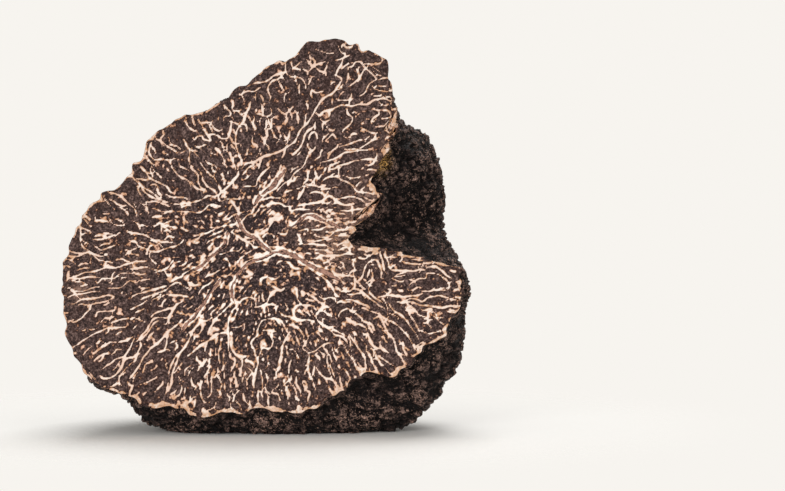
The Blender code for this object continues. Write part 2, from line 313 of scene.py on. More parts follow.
    (0.36, (9.3, 12), (12.6, 12.6), (13.5, 13.1), (14.6, 13.4), (16.5, 12.2), (17.4, 12.1)),
    (0.3, (5.6, 14), (7, 15.4), (8.3, 16.2), (9.2, 17.4), (10, 18.2), (10.7, 19.2), (11, 20)),
    (0.26, (7.3, 14.2), (9.2, 14.9)),
    (0.44, (9.2, 12.9), (9.9, 14), (10.2, 15.3)),
    (0.44, (10.3, 15.5), (12, 15.2), (12.6, 14.8), (13.8, 15)),
    (0.66, (1.2, 6), (2.2, 6.1), (2.1, 5.5)),
    (0.38, (-1, 8.1), (-1.2, 7.4), (1.4, 5.8), (2.2, 5), (3, 5.2)),
    (0.46, (-2, 7.9), (-2.4, 7.2), (-2.3, 6.3), (-5, 3.4), (-6, 2.4)),
    (0.3, (-4, 3.8), (-2.8, 4.1), (-1.8, 4.6), (-0.2, 4.7), (0.3, 5.4)),
    (0.32, (-2.6, 3.4), (-2, 2.9), (-1.8, 2)),
    (0.38, (2, 3.7), (4, 4.4), (6.2, 4.7), (10, 3.2), (13, 1.6), (14.2, 1), (15.2, 0.8)),
    (0.34, (0.2, 2.1), (4, 3.4), (5.2, 3.9), (6.5, 4.2)),
    (0.36, (5.6, 2.5), (6.3, 3), (7.4, 3.1), (8.3, 2.2), (9.3, 1.7), (10, 1.6)),
    (0.34, (11, 1.7), (13.2, 0.5), (14.2, -0.4), (15.4, -2.4), (16.2, -2.8)),
    (0.5, (3.3, -0.8), (3.4, 0.1), (4.4, 0.4)),
    (0.38, (4.4, 0.4), (5.2, 0.1), (6, 0.3), (6.3, 0.8)),
    (0.46, (4.5, -0.6), (5.4, -1.3), (6.4, -1.7), (7.3, -1.3)),
    (0.42, (6.4, -1.8), (5.2, -2), (4.5, -3.4), (3.8, -4)),
    (0.4, (2.2, -4.4), (4.6, -3.9), (5.9, -4.3)),
    (0.44, (8.6, -1.2), (9.2, -2), (9.3, -3), (9.8, -3.9), (9.1, -4.2), (8.5, -5), (8.7, -5.8),
     (9.2, -6.6)),
    (0.42, (9.8, -3.9), (10.8, -4.2), (12, -4.3)),
    (0.46, (6.1, -5), (7, -5.6), (8, -5.8), (9, -6.3), (10, -6.6), (12, -6.8)),
    (0.34, (13.8, -3.4), (12.6, -5.4), (12.4, -6), (13, -6.9), (14.8, -8.6), (15.9, -9), (17, -9.7)),
    (0.46, (-8.4, -0.3), (-7.4, -0.9), (-6.8, -0.8)),
    (0.44, (-6.7, -2.6), (-6.2, -1.6), (-5.6, -0.9), (-4.8, -0.6)),
    (0.4, (-5.6, 0.3), (-4.6, 1), (-3.8, 1.2), (-2.8, 1.7)),
    (0.4, (-9.2, 0.9), (-7.2, 1.6)),
    (0.4, (0.4, 14.8), (1.2, 15.1), (2.4, 15.2), (2.9, 16.2), (4.8, 18)),
    (0.34, (0.4, 16.8), (1.4, 17.8), (2.4, 18.4)),
    (0.5, (5, 9.5), (5.2, 9.1), (4.4, 8.2)),
    (0.36, (4.2, 7.4), (5.2, 7.2), (5.6, 6.2)),
    (0.4, (6.2, 7.4), (7.4, 7.5), (7.8, 8.6), (9, 9.4)),
    # By the notch
    (0.28, (15.9, 21.3), (19.4, 22.4)),
    (0.32, (12.8, 18.7), (15.6, 19.6), (17, 20.3), (19.8, 20.8), (20.6, 20.8)),
    (0.34, (19, 21), (20.5, 21.9), (22, 22.3)),
    (0.34, (14.1, 17.6), (15, 17.7), (16.3, 18.4), (19, 19), (20.8, 19.5), (21.6, 19.3), (22, 20.4)),
    (0.3, (14, 17.1), (14.2, 17.9), (14.9, 18.7)),
    (0.36, (13.3, 15.8), (14, 16.3), (15.4, 16.5), (16.2, 16), (17.4, 15.6), (18.8, 14.2),
     (19.8, 13.9), (21, 13.8), (22.2, 13.9)),
    (0.36, (12.6, 14.4), (14.7, 14.5)),
    (0.36, (19.4, 13.5), (20.2, 12.9), (21, 12.8), (22.2, 13), (22.3, 14)),
    (0.36, (15.8, 13.1), (17.2, 13.2), (19.3, 12.9), (20.4, 11.9)),
    (0.6, (17.7, 12.1), (17.8, 10.5)),
    (0.36, (16.1, 11.1), (19.8, 11.4), (20.1, 10.8), (19.6, 10)),
    (0.36, (7.8, 8.7), (10, 10), (11, 10.4), (11.4, 9.8), (13.6, 9.4), (14.8, 9), (15.9, 7.9)),
    (0.5, (9, 7.6), (9.8, 5.9), (8.7, 5.7)),
    (0.4, (9, 7.9), (10.7, 8.3), (10.7, 7.6)),
    (0.36, (9.8, 5.9), (13, 5.6), (15.3, 4.8)),
    (0.36, (11.4, 8.1), (12.8, 8.1), (13.8, 8.6)),
    (0.46, (11.6, 7.2), (12.6, 6.9), (13.8, 6.8), (14.6, 7.2), (15, 7.6)),
    (0.62, (13.6, 7.8), (15.4, 7.8), (17.6, 8.4), (19, 8.4), (19.6, 8.9)),
    (0.46, (14.8, 7), (16, 7.1), (17, 7.7)),
    (0.3, (11.8, 6.2), (15, 6.6)),
    (0.44, (15.5, 5.6), (16.6, 6.1), (18.2, 7.4)),
    (0.42, (11.6, 3.4), (12.4, 3.3), (13, 3.8), (16, 3.9), (17.2, 4.2), (18.5, 4.1)),
    (0.4, (13.2, 2.8), (14, 3), (14.5, 2.2)),
    (0.46, (15.9, 2.9), (16.4, 2.7), (16.6, 2.1), (17, 1.7)),
    (0.42, (18.6, 3.6), (18, 2.8), (18.3, 2)),
    (0.34, (12, 4.8), (13.2, 4.7), (14.2, 4.9)),
    (0.6, (16.2, 5), (17.2, 5.3), (17.5, 4.5)),
    (0.5, (22, 17.4), (21.2, 17.8), (20.4, 17.5)),
    (0.5, (21.3, 16.6), (21.8, 15.6), (21.6, 14.8)),
    (0.6, (11, 20.2), (11.8, 20.7), (12.1, 21.4)),
    (0.36, (11.9, 17.7), (12.6, 16.2), (13, 16.9)),
    (0.6, (15, 0.8), (16.2, 0.9), (17.6, 0.8)),
    (0.6, (16, 7.4), (17.8, 7)),
    # Right
    (0.34, (18.9, -0.1), (19.6, 0.6), (19.9, 1.8), (20.7, 3), (21.9, 3.1), (22.5, 1.3), (22.4, 0.4),
     (23.2, 0)),
    (0.34, (22.3, 4.7), (22.8, 1.9), (23.5, 0.8)),
    (0.32, (23.3, 4.6), (23.2, 3.4), (24.2, 1.7), (27, 1.6), (29.6, 1.9)),
    (0.26, (25, 0.8), (27, 1.5)),
    (0.46, (24.2, 0.3), (25.5, -0.2), (26.4, -0.1)),
    (0.32, (24.4, 0.5), (26.5, 0.7)),
    (0.3, (27, -1), (28.6, 0.2), (29.8, 0.3), (30, 1.1), (30.8, 1.2), (31.8, 0.9), (32.6, 0.3)),
    (0.34, (20.3, 0.2), (20.8, 1.9)),
    (0.36, (21, 1.8), (21.2, 0.2), (20.8, -1.8), (21.4, -2.6), (23, -3.9)),
    (0.4, (23.6, -1.5), (24.2, -1.9), (23.4, -2.5), (22.2, -2.9)),
    (0.46, (23.8, -2.5), (25.5, -2.7), (29.2, -2.2)),
    (0.34, (25, -3.4), (26, -3.6), (27.2, -3), (28.6, -3.1), (29.2, -3.4), (30.2, -2.8), (33, -2.7),
     (34, -3.2), (35, -3.4)),
    (0.36, (25.8, -3.6), (27.5, -3.7), (30.5, -4.2), (32, -4.4), (35.2, -4.1)),
    (0.28, (31, -1.8), (33.2, -1.5), (33, -1.1)),
    (0.3, (24, -3.5), (24.4, -4.4), (26.9, -6.9), (27.6, -7.8), (28.8, -9.9)),
    (0.3, (26.4, -4.5), (28.2, -7.2), (28.8, -8.5)),
    (0.28, (26.2, -5), (28, -5), (28.6, -5.6), (29.8, -6.2), (30, -7), (30.6, -7.9)),
    (0.28, (30.8, -5.8), (32.4, -7), (33.2, -7.2)),
    (0.3, (19, -4.6), (20.4, -4.9), (23.6, -6.3), (24.8, -7), (27, -9.4), (28.2, -11.4)),
    (0.44, (17, -3.2), (20.2, -4.3), (21.2, -4.9)),
    (0.36, (18, -1.4), (19.2, -1.8), (21.6, -3.5), (22.4, -4.4), (23.5, -4.8)),
    (0.34, (16.2, -1.3), (17.2, -1.8), (18, -1.4), (18.3, -0.8), (18.4, 0.2)),
    (0.44, (19.2, -6.6), (20.3, -6.9), (20.8, -7.2), (21.4, -8.2)),
    (0.5, (20.4, -8.5), (20.9, -9.8), (21.6, -10.8), (22.4, -11.2)),
    (0.38, (21.2, -6.3), (22.2, -6), (23, -6.8), (23.9, -8.8), (24.6, -9.7), (26, -13), (26.8, -13.5)),
    (0.34, (26, -9.8), (26.2, -11), (26.7, -12.4)),
    (0.28, (22.6, -10.8), (23.4, -11.6), (24.2, -12)),
    (0.32, (22.2, -12.3), (24.6, -13.8)),
    (0.32, (20.8, -12), (21.3, -13), (21.6, -14), (22.2, -15)),
    (0.3, (17.4, -8.6), (18.2, -10), (19.2, -11.2), (19.8, -12.4), (20.1, -13.6), (20, -14.7)),
    (0.28, (16.6, -10.4), (17, -11.4), (17.8, -12.3), (18.5, -13.6), (18.8, -14.5)),
    (0.34, (16.8, -14.3), (17.6, -16.2)),
    (0.4, (25.8, 4.2), (26.1, 3.4), (25.5, 2.8)),
    (0.34, (26, 2.9), (28.8, 2.7), (30, 2.8), (31, 2.6)),
    (0.44, (30, 2.1), (31.4, 2.2), (32.4, 1.6), (33, 0.8), (34, 0.4)),
    (0.36, (32.9, -4.9), (34, -5.2), (35, -5)),
    (0.4, (20, 4.3), (20.6, 4), (21.6, 4.2)),
    (0.34, (15.9, -5.8), (16.2, -5), (17, -4.6), (17.8, -5.2), (19, -5)),
    # Top
    (0.3, (9.6, 36.4), (7.6, 35.4), (7.2, 34.4), (7.3, 33.4), (8.2, 32.5), (10.1, 31.8), (10.7, 30.2)),
    (0.44, (7.2, 33.4), (5, 32.2)),
    (0.32, (5.2, 32.2), (2.4, 31.3), (1.2, 30.9)),
    (0.28, (7.2, 33.3), (6.5, 32.4), (6, 32), (5.2, 31.7), (4.6, 30.9), (4.6, 30), (4.9, 29)),
    (0.28, (6, 32), (7, 30.2)),
    (0.3, (8.3, 33.8), (9.9, 35)),
    (0.36, (10.8, 35.3), (11.4, 34.5), (11.8, 34.2), (13.7, 34.9)),
    (0.36, (11.8, 35.6), (11.9, 34.4), (11, 33.2)),
    (0.3, (11.9, 34.1), (12.6, 33.5), (13.6, 33.1), (13.9, 32.4)),
    (0.28, (12.2, 36.8), (13.3, 36.3), (14.9, 36.2)),
    (0.34, (15.1, 35.1), (17.6, 36)),
    (0.34, (16.3, 35.3), (16, 34.2), (15.2, 32.5)),
    (0.38, (15.3, 32.8), (16.2, 32.3), (16, 31.4), (15.4, 30.2), (14.8, 29.4), (13.6, 29),
     (12.8, 28.5), (11.8, 26.6), (10.8, 25.2), (9.8, 24.2), (9.1, 22.8), (8.2, 21.8), (7, 21),
     (3.6, 19.4), (1.3, 18.7), (0.2, 17.6)),
    (0.36, (16.1, 36.8), (16.3, 37.5), (17.2, 37.1), (18, 37.2), (18.2, 37.9)),
    (0.36, (12.2, 26.8), (12.9, 26.2), (13.6, 27), (16, 27.9), (18, 27.9), (20, 28.2), (21.8, 28.8),
     (23.4, 28.8), (25, 28.3), (25.5, 28)),
    (0.34, (17, 27.9), (17, 27.2), (17.2, 26.5), (18, 26), (17.7, 25.1), (16.7, 24.3), (16.4, 23.6)),
    (0.34, (14.1, 25.7), (13.2, 25), (13, 23.8)),
    (0.3, (17.3, 33.6), (17.4, 34.1), (18.2, 34.2), (18.6, 34.9), (19.6, 34.6), (21.8, 32.2),
     (23, 32.3), (24, 32.2), (24.5, 30.9), (23.8, 30.2), (21.4, 30.5)),
    (0.28, (20.3, 34), (18.8, 32), (17.9, 31.2), (17.2, 30.9)),
    (0.3, (21.2, 34.3), (23, 33)),
    (0.3, (21.8, 32), (20.9, 31.4), (20.2, 30.6), (19.8, 29.8), (19, 29.6)),
    (0.3, (15.5, 29), (16.3, 28.7), (17.6, 29), (17.8, 29.9)),
    (0.26, (11.6, 28.7), (11.4, 29.6), (11.6, 30.3), (12.2, 30), (13.4, 30)),
    (0.28, (22.6, 36.2), (22.8, 35.2), (23.2, 34.3)),
    (0.34, (21.6, 27.3), (23.8, 27), (24.2, 25.6)),
    (0.4, (22.4, 27), (22.3, 26.5), (21.4, 26), (21.2, 25.2)),
    (0.44, (19.4, 24.4), (21.8, 23.2)),
    (0.5, (22.2, 24.4), (23.2, 24.6), (23.6, 25.2)),
    (0.6, (23.2, 24.2), (23.8, 23.6), (24.2, 23.4)),
    (0.36, (14.1, 22.7), (14.8, 23.5), (15.5, 22.7)),
    (0.34, (11, 22.5), (11.2, 23.4), (11.6, 23.9), (12.1, 23.4), (12.3, 22.6), (12.8, 22.5)),
    (0.4, (11.7, 24.7), (10.6, 23.7), (9.9, 21.9), (8.6, 19.8)),
    (0.38, (10.6, 26.9), (10.3, 24.8)),
    (0.28, (5.1, 27.6), (5.1, 26.6), (4.3, 26.2), (3.6, 26.5), (2.4, 26.7), (2, 26.6)),
    (0.3, (4.5, 26.1), (5, 24.2), (4.3, 24), (4.3, 23), (4.1, 22), (4.8, 21.2), (4.7, 20.4)),
    (0.3, (5, 24), (5.6, 23), (6.3, 22.6)),
    (0.34, (3.3, 23), (4, 22.3), (4, 21)),
    (0.5, (3.2, 28.4), (3.5, 27.8), (3.8, 26.6)),
    (0.3, (6.1, 27.5), (7, 26.4), (7.8, 26.8), (8.6, 27.8)),
    (0.3, (7.7, 27.6), (8.4, 25.4)),
    (0.28, (6.9, 23.6), (7.2, 22.8), (7.6, 22.3), (7.1, 21.5)),
    (0.32, (2, 23), (2.1, 22), (2.8, 21.4), (2.6, 20.6)),
    (0.36, (9.4, 31.2), (9.4, 30.2), (9.6, 29.4)),
    (0.28, (-0.2, 29.6), (1.4, 30.3), (2.5, 30.2), (3.5, 31)),
    # Upper left
    (0.34, (1.6, 28.6), (1.4, 27.4), (0.4, 25.3), (-0.1, 24.6), (-0.5, 23.2), (-0.5, 21.6),
     (-0.3, 20.4), (0.1, 19.4), (0.3, 18.2)),
    (0.28, (1.2, 26.2), (1.9, 25.2), (2.2, 24.2)),
    (0.4, (-1.4, 25.3), (-1.4, 24), (-1.8, 22.9)),
    (0.32, (-1.8, 22.9), (-2.8, 22.6), (-3.8, 23.2), (-4.5, 23.3), (-5, 22.8), (-4.8, 22.1),
     (-5.6, 22.4), (-5.9, 23), (-6.8, 23), (-7.1, 22.5), (-7.6, 22.7)),
    (0.34, (-1.5, 21.8), (-0.5, 20.4)),
    (0.48, (-4, 21.2), (-3.4, 20.6), (-2.6, 19.3)),
    (0.36, (-9.2, 22.3), (-8, 21), (-7.2, 20.5), (-6.6, 19.8)),
    (0.34, (-8, 21), (-7.9, 18.4), (-6.9, 16.8), (-6.7, 15.8), (-6.2, 15), (-5.5, 14.3)),
    (0.3, (-6.3, 17.2), (-5.3, 15.3), (-4.6, 14.6)),
    (0.3, (-12.3, 24), (-12.1, 23.2), (-12.6, 22.7), (-12.5, 22.1), (-11.6, 21.4), (-10.6, 20.9),
     (-9.4, 19.8)),
    (0.3, (-10.3, 20.8), (-9.4, 20.5), (-8.3, 21)),
    (0.34, (-14, 22), (-14.5, 20.9), (-14.5, 20.3), (-13.5, 19.4), (-12.5, 19.5), (-11, 19.1),
     (-10.4, 19.4), (-9.6, 19.4)),
    (0.3, (-11, 19.1), (-10.8, 18), (-10.2, 17), (-9.3, 16.2), (-8.2, 15.6), (-7.6, 14.6)),
    (0.38, (-16.2, 18.4), (-15, 17.3), (-14.6, 16.6), (-13.6, 15.8), (-11.8, 15), (-11.2, 14.3),
     (-10.6, 13.9)),
    (0.36, (-11.9, 13.9), (-10.6, 13.3), (-9.2, 13.1), (-8.2, 12.7)),
    (0.28, (-16.4, 16.3), (-15, 16.4), (-14.6, 16.3)),
    (0.34, (-14.6, 15.4), (-13.6, 15.2), (-13, 14.6)),
    (0.34, (-15.8, 15.3), (-15.5, 14.4), (-14.7, 13.6), (-13.6, 13), (-12.8, 12.8)),
    (0.3, (-15.1, 12.5), (-13.9, 12.6), (-12.4, 12.2), (-10.8, 11.5)),
    (0.28, (-14.9, 12.5), (-14.8, 11.3), (-14.4, 10.2)),
    (0.6, (-14, 9.9), (-12.4, 10.2)),
    (0.36, (-12.3, 7.4), (-12.2, 8.8), (-10.6, 9.6)),
    (0.3, (-14.4, 6.4), (-13, 6.4), (-12.5, 6), (-10.6, 6)),
    (0.32, (-12.2, 6.4), (-11.4, 7), (-10.4, 7)),
    (0.3, (-21.4, 14.2), (-20, 13.8), (-18.6, 13.1), (-17.6, 12.2), (-16.8, 11.2), (-16.3, 10)),
    (0.28, (-20.8, 13), (-19, 11.9), (-18, 12)),
    (0.34, (-9, 25.4), (-8.4, 24.6), (-7.6, 23.9), (-6.6, 23.7)),
    (0.26, (-7.7, 26), (-7.3, 24.8), (-6.9, 24.2)),
    (0.34, (-6.8, 25.8), (-6.2, 25), (-4.8, 25.3), (-4.2, 24.5), (-3.4, 24), (-2.5, 24.2)),
    (0.34, (-2.6, 28), (-1.4, 26.9), (-1.7, 26.2), (-2.5, 26), (-2.3, 25.3)),
    (0.3, (-0.9, 28.8), (-1, 27.8), (-0.7, 27.2), (0.4, 27.2)),
    (0.3, (-6.6, 18.8), (-4.6, 16.8), (-3.8, 16.2)),
    (0.4, (-5.2, 18.5), (-4.4, 18.3), (-3.8, 17.8)),
    (0.24, (-7, 21.6), (-6.2, 21), (-5.6, 20.2)),
    (0.6, (-6.8, 9.3), (-6.2, 9.5), (-5.8, 8.8)),
    (0.45, (-9.6, 8.6), (-8.2, 7.8)),
)  # fmt: skip


class Slot(Enum):
    """The record's material slots."""

    RIND = "rind"
    FLESH = "cut_flesh"


class Sum(Enum):
    """Sums that a shader works out from two numbers."""

    ADD = "ADD"
    SUBTRACT = "SUBTRACT"
    MULTIPLY = "MULTIPLY"


def ease(t: np.ndarray) -> np.ndarray:
    """0 to 1 with a smooth start and end, 3t^2 - 2t^3, and level outside that range."""
    t = np.clip(t, 0, 1)
    return t * t * (3 - 2 * t)


def unit(vectors: np.ndarray) -> np.ndarray:
    """The same directions with a length of 1."""
    return vectors / np.maximum(np.linalg.norm(vectors, axis=-1, keepdims=True), 1e-12)


def half_turn(angles: np.ndarray) -> np.ndarray:
    """The same angles in degrees, brought between -180 and 180."""
    return (angles + 180) % 360 - 180


def angle_of(x: np.ndarray, z: np.ndarray) -> np.ndarray:
    """Angles round the heart at which places lie, in degrees."""
    return np.degrees(np.arctan2(z, x))


def radius_around(outline: Outline, angles: np.ndarray) -> np.ndarray:
    """Radius of a smooth closed curve at any angle.

    Between two points of the outline the radius is a cubic, whose slope at each point is that of
    a parabola through the point and its two neighbours.

    Args:
        outline: points as angle in degrees and radius in mm.
        angles: angles in degrees, from -180 to 180.

    Returns:
        The radius at each angle, in mm.
    """
    knots, radii = np.array(outline, float).T
    knots = np.concatenate((knots - 360, knots, knots + 360))
    radii = np.tile(radii, 3)
    slopes = np.gradient(radii, knots)
    i = np.searchsorted(knots, angles, side="right") - 1
    span = knots[i + 1] - knots[i]
    t = (angles - knots[i]) / span
    return (
        (1 + 2 * t) * (1 - t) ** 2 * radii[i]
        + t * (1 - t) ** 2 * span * slopes[i]
        + t**2 * (3 - 2 * t) * radii[i + 1]
        + t**2 * (t - 1) * span * slopes[i + 1]
    )


def steepness(angles: np.ndarray) -> np.ndarray:
    """How fast the cut edge's radius grows, in mm for each mm round the heart, over two degrees."""
    ahead, behind = (radius_around(CUT_EDGE, half_turn(angles + turn)) for turn in (1, -1))
    return (ahead - behind) / math.radians(2) / radius_around(CUT_EDGE, angles)


def with_patches(field: np.ndarray, x: np.ndarray, z: np.ndarray, patches: Patches) -> np.ndarray:
    """A field with patches on it: each adds amount * exp(-(distance / reach)^2).

    Args:
        field: the field's value at each place.
        x: places to the right of the heart, in mm.
        z: places above it.
        patches: the patches, as x, z, reach and amount.

    Returns:
        The new values.
    """
    total = field.copy()
    for middle_x, middle_z, reach, amount in patches:
        total += amount * np.exp(-((x - middle_x) ** 2 + (z - middle_z) ** 2) / reach**2)
    return total


@dataclass(frozen=True)
class Body:
    """The smooth body of the half, before its warts. Lengths are in mm, and angles in degrees."""

    depth: float = 37.0  # from the cut to the back
    heart_height: float = 25.1  # above the floor
    swell_start: float = 1.25  # 1 swells at once behind the cut, and more swells later
    lobes_begin: float = 28.0  # profile angle from which lobes stand at their full height
    lobes_away_from: float = 0.3  # place that they stand away from, as a share of the depth
    fullness: float = 0.72  # 1 closes the back as an ellipse, and less is fuller
    back_drift: tuple[float, float] = (3.0, 2.0)  # how far right and up the back end lies

    def plain(self, angle: np.ndarray, profile: np.ndarray) -> np.ndarray:
        """Points of the body before its lobes.

        The radius swells from the cut edge to the girth along a sine, and closes at the back
        along an ellipse that fullness makes fuller.

        Args:
            angle: angles round the heart line in degrees.
            profile: angles from the cut (0) to the back (90).

        Returns:
            The points, in mm, in an array with one more axis.
        """
        a, p = np.radians(angle), np.radians(profile)
        depth = self.depth * np.sin(p)
        cut, girth = radius_around(CUT_EDGE, angle), radius_around(GIRTH, angle)
        swell = np.clip(depth / radius_around(SWELL, angle), 0, 1)
        radius = cut + (girth - cut) * np.sin(swell * math.pi / 2) ** self.swell_start
        radius = radius * np.clip(np.cos(p), 0, 1) ** self.fullness
        drift = np.sin(p) ** 2
        x = radius * np.cos(a) + self.back_drift[0] * drift
        z = radius * np.sin(a) + self.back_drift[1] * drift
        return np.stack((x, depth, z), axis=-1)

    def points(self, angle: np.ndarray, profile: np.ndarray) -> np.ndarray:
        """Points of the body with its lobes: each adds rise * exp(-(distance / reach)^2).

        Args:
            angle: angles round the heart line in degrees.
            profile: angles from the cut (0) to the back (90).

        Returns:
            The points, in mm.
        """
        points = self.plain(angle, profile)
        outward = unit(points - np.array((0.0, self.depth * self.lobes_away_from, 0.0)))
        height = np.zeros(points.shape[:-1])
        for lobe_angle, lobe_profile, rise, reach in LOBES:
            top = self.plain(np.array([float(lobe_angle)]), np.array([float(lobe_profile)]))
            away = np.linalg.norm(points - top[0], axis=-1)
            height = height + rise * np.exp(-((away / reach) ** 2))
        return points + outward * (height * ease(profile / self.lobes_begin))[..., None]


@dataclass(frozen=True)
class Placement:
    """Turns places round the heart, in mm, into the frame's metres."""

    heart: tuple[float, float, float]

    @classmethod
    def of(cls, body: Body) -> "Placement":
        """The heart's place, from the box of the CAD body.

        Args:
            body: the smooth body, whose middle in x lies over the frame's origin.

        Returns:
            The placement.
        """
        sides, rings = 96, 26
        angles = np.arange(sides) * 360 / sides - 180
        x = body.points(*np.meshgrid(angles, np.arange(rings) * 90 / rings))[..., 0]
        return cls((-(x.min() + x.max()) / 2 * MM, CAD_BOX[0].y, body.heart_height * MM))

    def world(self, points: np.ndarray) -> np.ndarray:
        """The points in metres, in the frame."""
        return points * MM + np.array(self.heart)


@dataclass(frozen=True)
class Cells:
    """A pattern of irregular cells in space, one round each of a set of scattered seeds.

    Space is cut into cubes of one pitch with one seed in each, and every point belongs to its
    nearest seed. The seeds' places repeat every so many cubes, which is the period.
    """

    pitch: float
    seed: int
    period: int = 41

    def around(self, points: np.ndarray) -> tuple[np.ndarray, np.ndarray]:
        """How each point lies in its cell.

        Args:
            points: places in mm.

        Returns:
            How far the point is from the border of its cell, as the difference between its
            distances to the two nearest seeds, and a random number of the cell, from 0 to 1.
        """
        draws = np.random.default_rng(self.seed).random((self.period,) * 3 + (4,))
        scaled = points.reshape(-1, 3) / self.pitch
        home = np.floor(scaled).astype(int)
        nearest = np.full(len(scaled), np.inf)
        second = nearest.copy()
        owner = np.zeros(len(scaled))
        for step in np.ndindex(3, 3, 3):
            cube = home + np.array(step) - 1
            draw = draws[tuple((cube % self.period).T)]
            away = np.linalg.norm(cube + draw[:, :3] - scaled, axis=1)
            closer = away < nearest
            second = np.where(closer, nearest, np.minimum(second, away))
            owner = np.where(closer, draw[:, 3], owner)
            nearest = np.where(closer, away, nearest)
        shape = points.shape[:-1]
        return ((second - nearest) * self.pitch).reshape(shape), owner.reshape(shape)


@dataclass(frozen=True)
class Swells:
    """Gentle unevenness in space: the sum of plane waves in random directions."""

    shortest: float  # wave, in mm
    longest: float
    seed: int
    waves: int = 22

    def at(self, points: np.ndarray) -> np.ndarray:
        """Height of the unevenness, mostly between -1 and 1.

        Args:
            points: places in mm.

        Returns:
            The height at each place.
        """
        rng = np.random.default_rng(self.seed)
        height = np.zeros(points.shape[:-1])
        for _ in range(self.waves):
            length = rng.uniform(self.shortest, self.longest)
            across = unit(rng.standard_normal(3)) * 2 * math.pi / length
            height += np.sin(points @ across + rng.uniform(0, 2 * math.pi))
        return height / math.sqrt(self.waves)


@dataclass(frozen=True)
class Warts:
    """The relief of the rind: many-sided low warts with grooves between them. Sizes are in mm."""

    cells: Cells = Cells(2.1, seed=11)
    rise: float = 0.55
    groove: float = 0.6  # from the bottom of a groove to a wart's shoulder
    shoulder: tuple[float, float] = (0.55, 0.45)  # of the lowest wart, and more for the highest
    crown: float = 0.6  # share of the pitch, from the border inwards, in which a wart still rises
    crown_rise: float = 0.5
    bends: tuple[Swells, ...] = (Swells(2.0, 5.0, 3), Swells(2.0, 5.0, 4), Swells(2.0, 5.0, 5))
    bend: float = 0.5  # how far the pattern is bent out of its straight lines
    facet_cells: Cells = Cells(0.85, seed=12)
    facet_rise: float = 0.34
    facet_groove: float = 0.3
    lumps: Swells = Swells(5.0, 13.0, seed=8)
    lump_rise: float = 0.42
    level: float = 0.6  # share of the rise that lies below the smooth body
    scallops: tuple[tuple[float, Swells], ...] = (
        (0.6, Swells(3.0, 6.0, seed=14)),
        (0.8, Swells(1.3, 2.4, seed=16)),
    )
    scallop_reach: float = 4.0  # how far behind the cut the scallops go
    tuck: float = 0.45  # how far the rind draws in behind the cut edge
    tuck_reach: tuple[float, float] = (0.9, 9.0)  # where the tuck is full, and where it has ended
    cut_share: float = 0.6  # share of the relief that is left in the clean cut
    cut_reach: float = 2.5  # how far behind the cut the relief is whole again

    def pattern(self, points: np.ndarray) -> tuple[np.ndarray, np.ndarray]:
        """Height of the warts and their facets.

        A wart rises from its border as ease(border / groove) and goes on rising slowly towards
        its middle. Facets repeat that on a smaller pitch.

        Args:
            points: places on the smooth body, in mm.

        Returns:
            The height in mm above the grooves, and how clear of them each point is, from 0 to 1.
        """
        bent = points + self.bend * np.stack([swells.at(points) for swells in self.bends], axis=-1)
        border, draw = self.cells.around(bent)
        flank = ease(border / self.groove)
        crown = np.clip(border / self.cells.pitch, 0, self.crown)
        facet_border, facet_draw = self.facet_cells.around(bent)
        facet = ease(facet_border / self.facet_groove) * (1 + facet_draw) / 2
        low, more = self.shoulder
        high = self.rise * flank * (low + more * draw + self.crown_rise * crown)
        return high + self.facet_rise * facet * flank, flank * (low + more * facet)

    def ragged(self, points: np.ndarray) -> np.ndarray:
        """How far scallops, bumps and nicks push the cut edge out, in mm; 0 well behind it.

        A bump or nick adds height * exp(-(angle from its middle / reach)^2).

        Args:
            points: places on the smooth body, in mm.

        Returns:
            The height at each place.
        """
        angle = angle_of(points[..., 0], points[..., 2])
        waves = sum(share * swells.at(points) for share, swells in self.scallops)
        ragged = radius_around(SCALLOPS, angle) * waves
        for middle, height, reach in NICKS:
            ragged += height * np.exp(-(half_turn(angle - middle) ** 2) / reach**2)
        return ragged * (1 - ease(points[..., 1] / self.scallop_reach))

    def heights(self, points: np.ndarray) -> tuple[np.ndarray, np.ndarray]:
        """Relief of the rind and how clear of the grooves each point is.

        Lumps lift whole groups of warts. The relief is weaker in the clean cut, and just behind
        it the rind tucks in.

        Args:
            points: places on the smooth body, in mm.

        Returns:
            The height in mm, about 0 on average, and how clear each point is, from 0 to 1.
        """
        depth = points[..., 1]
        high, clear = self.pattern(points)
        full, ended = self.tuck_reach
        tucked = self.tuck * ease(depth / full) * (1 - ease(depth / ended))
        share = self.cut_share + (1 - self.cut_share) * ease(depth / self.cut_reach)
        lumps = self.lump_rise * self.lumps.at(points)
        return (high - self.rise * self.level) * share + lumps + self.ragged(points) - tucked, clear


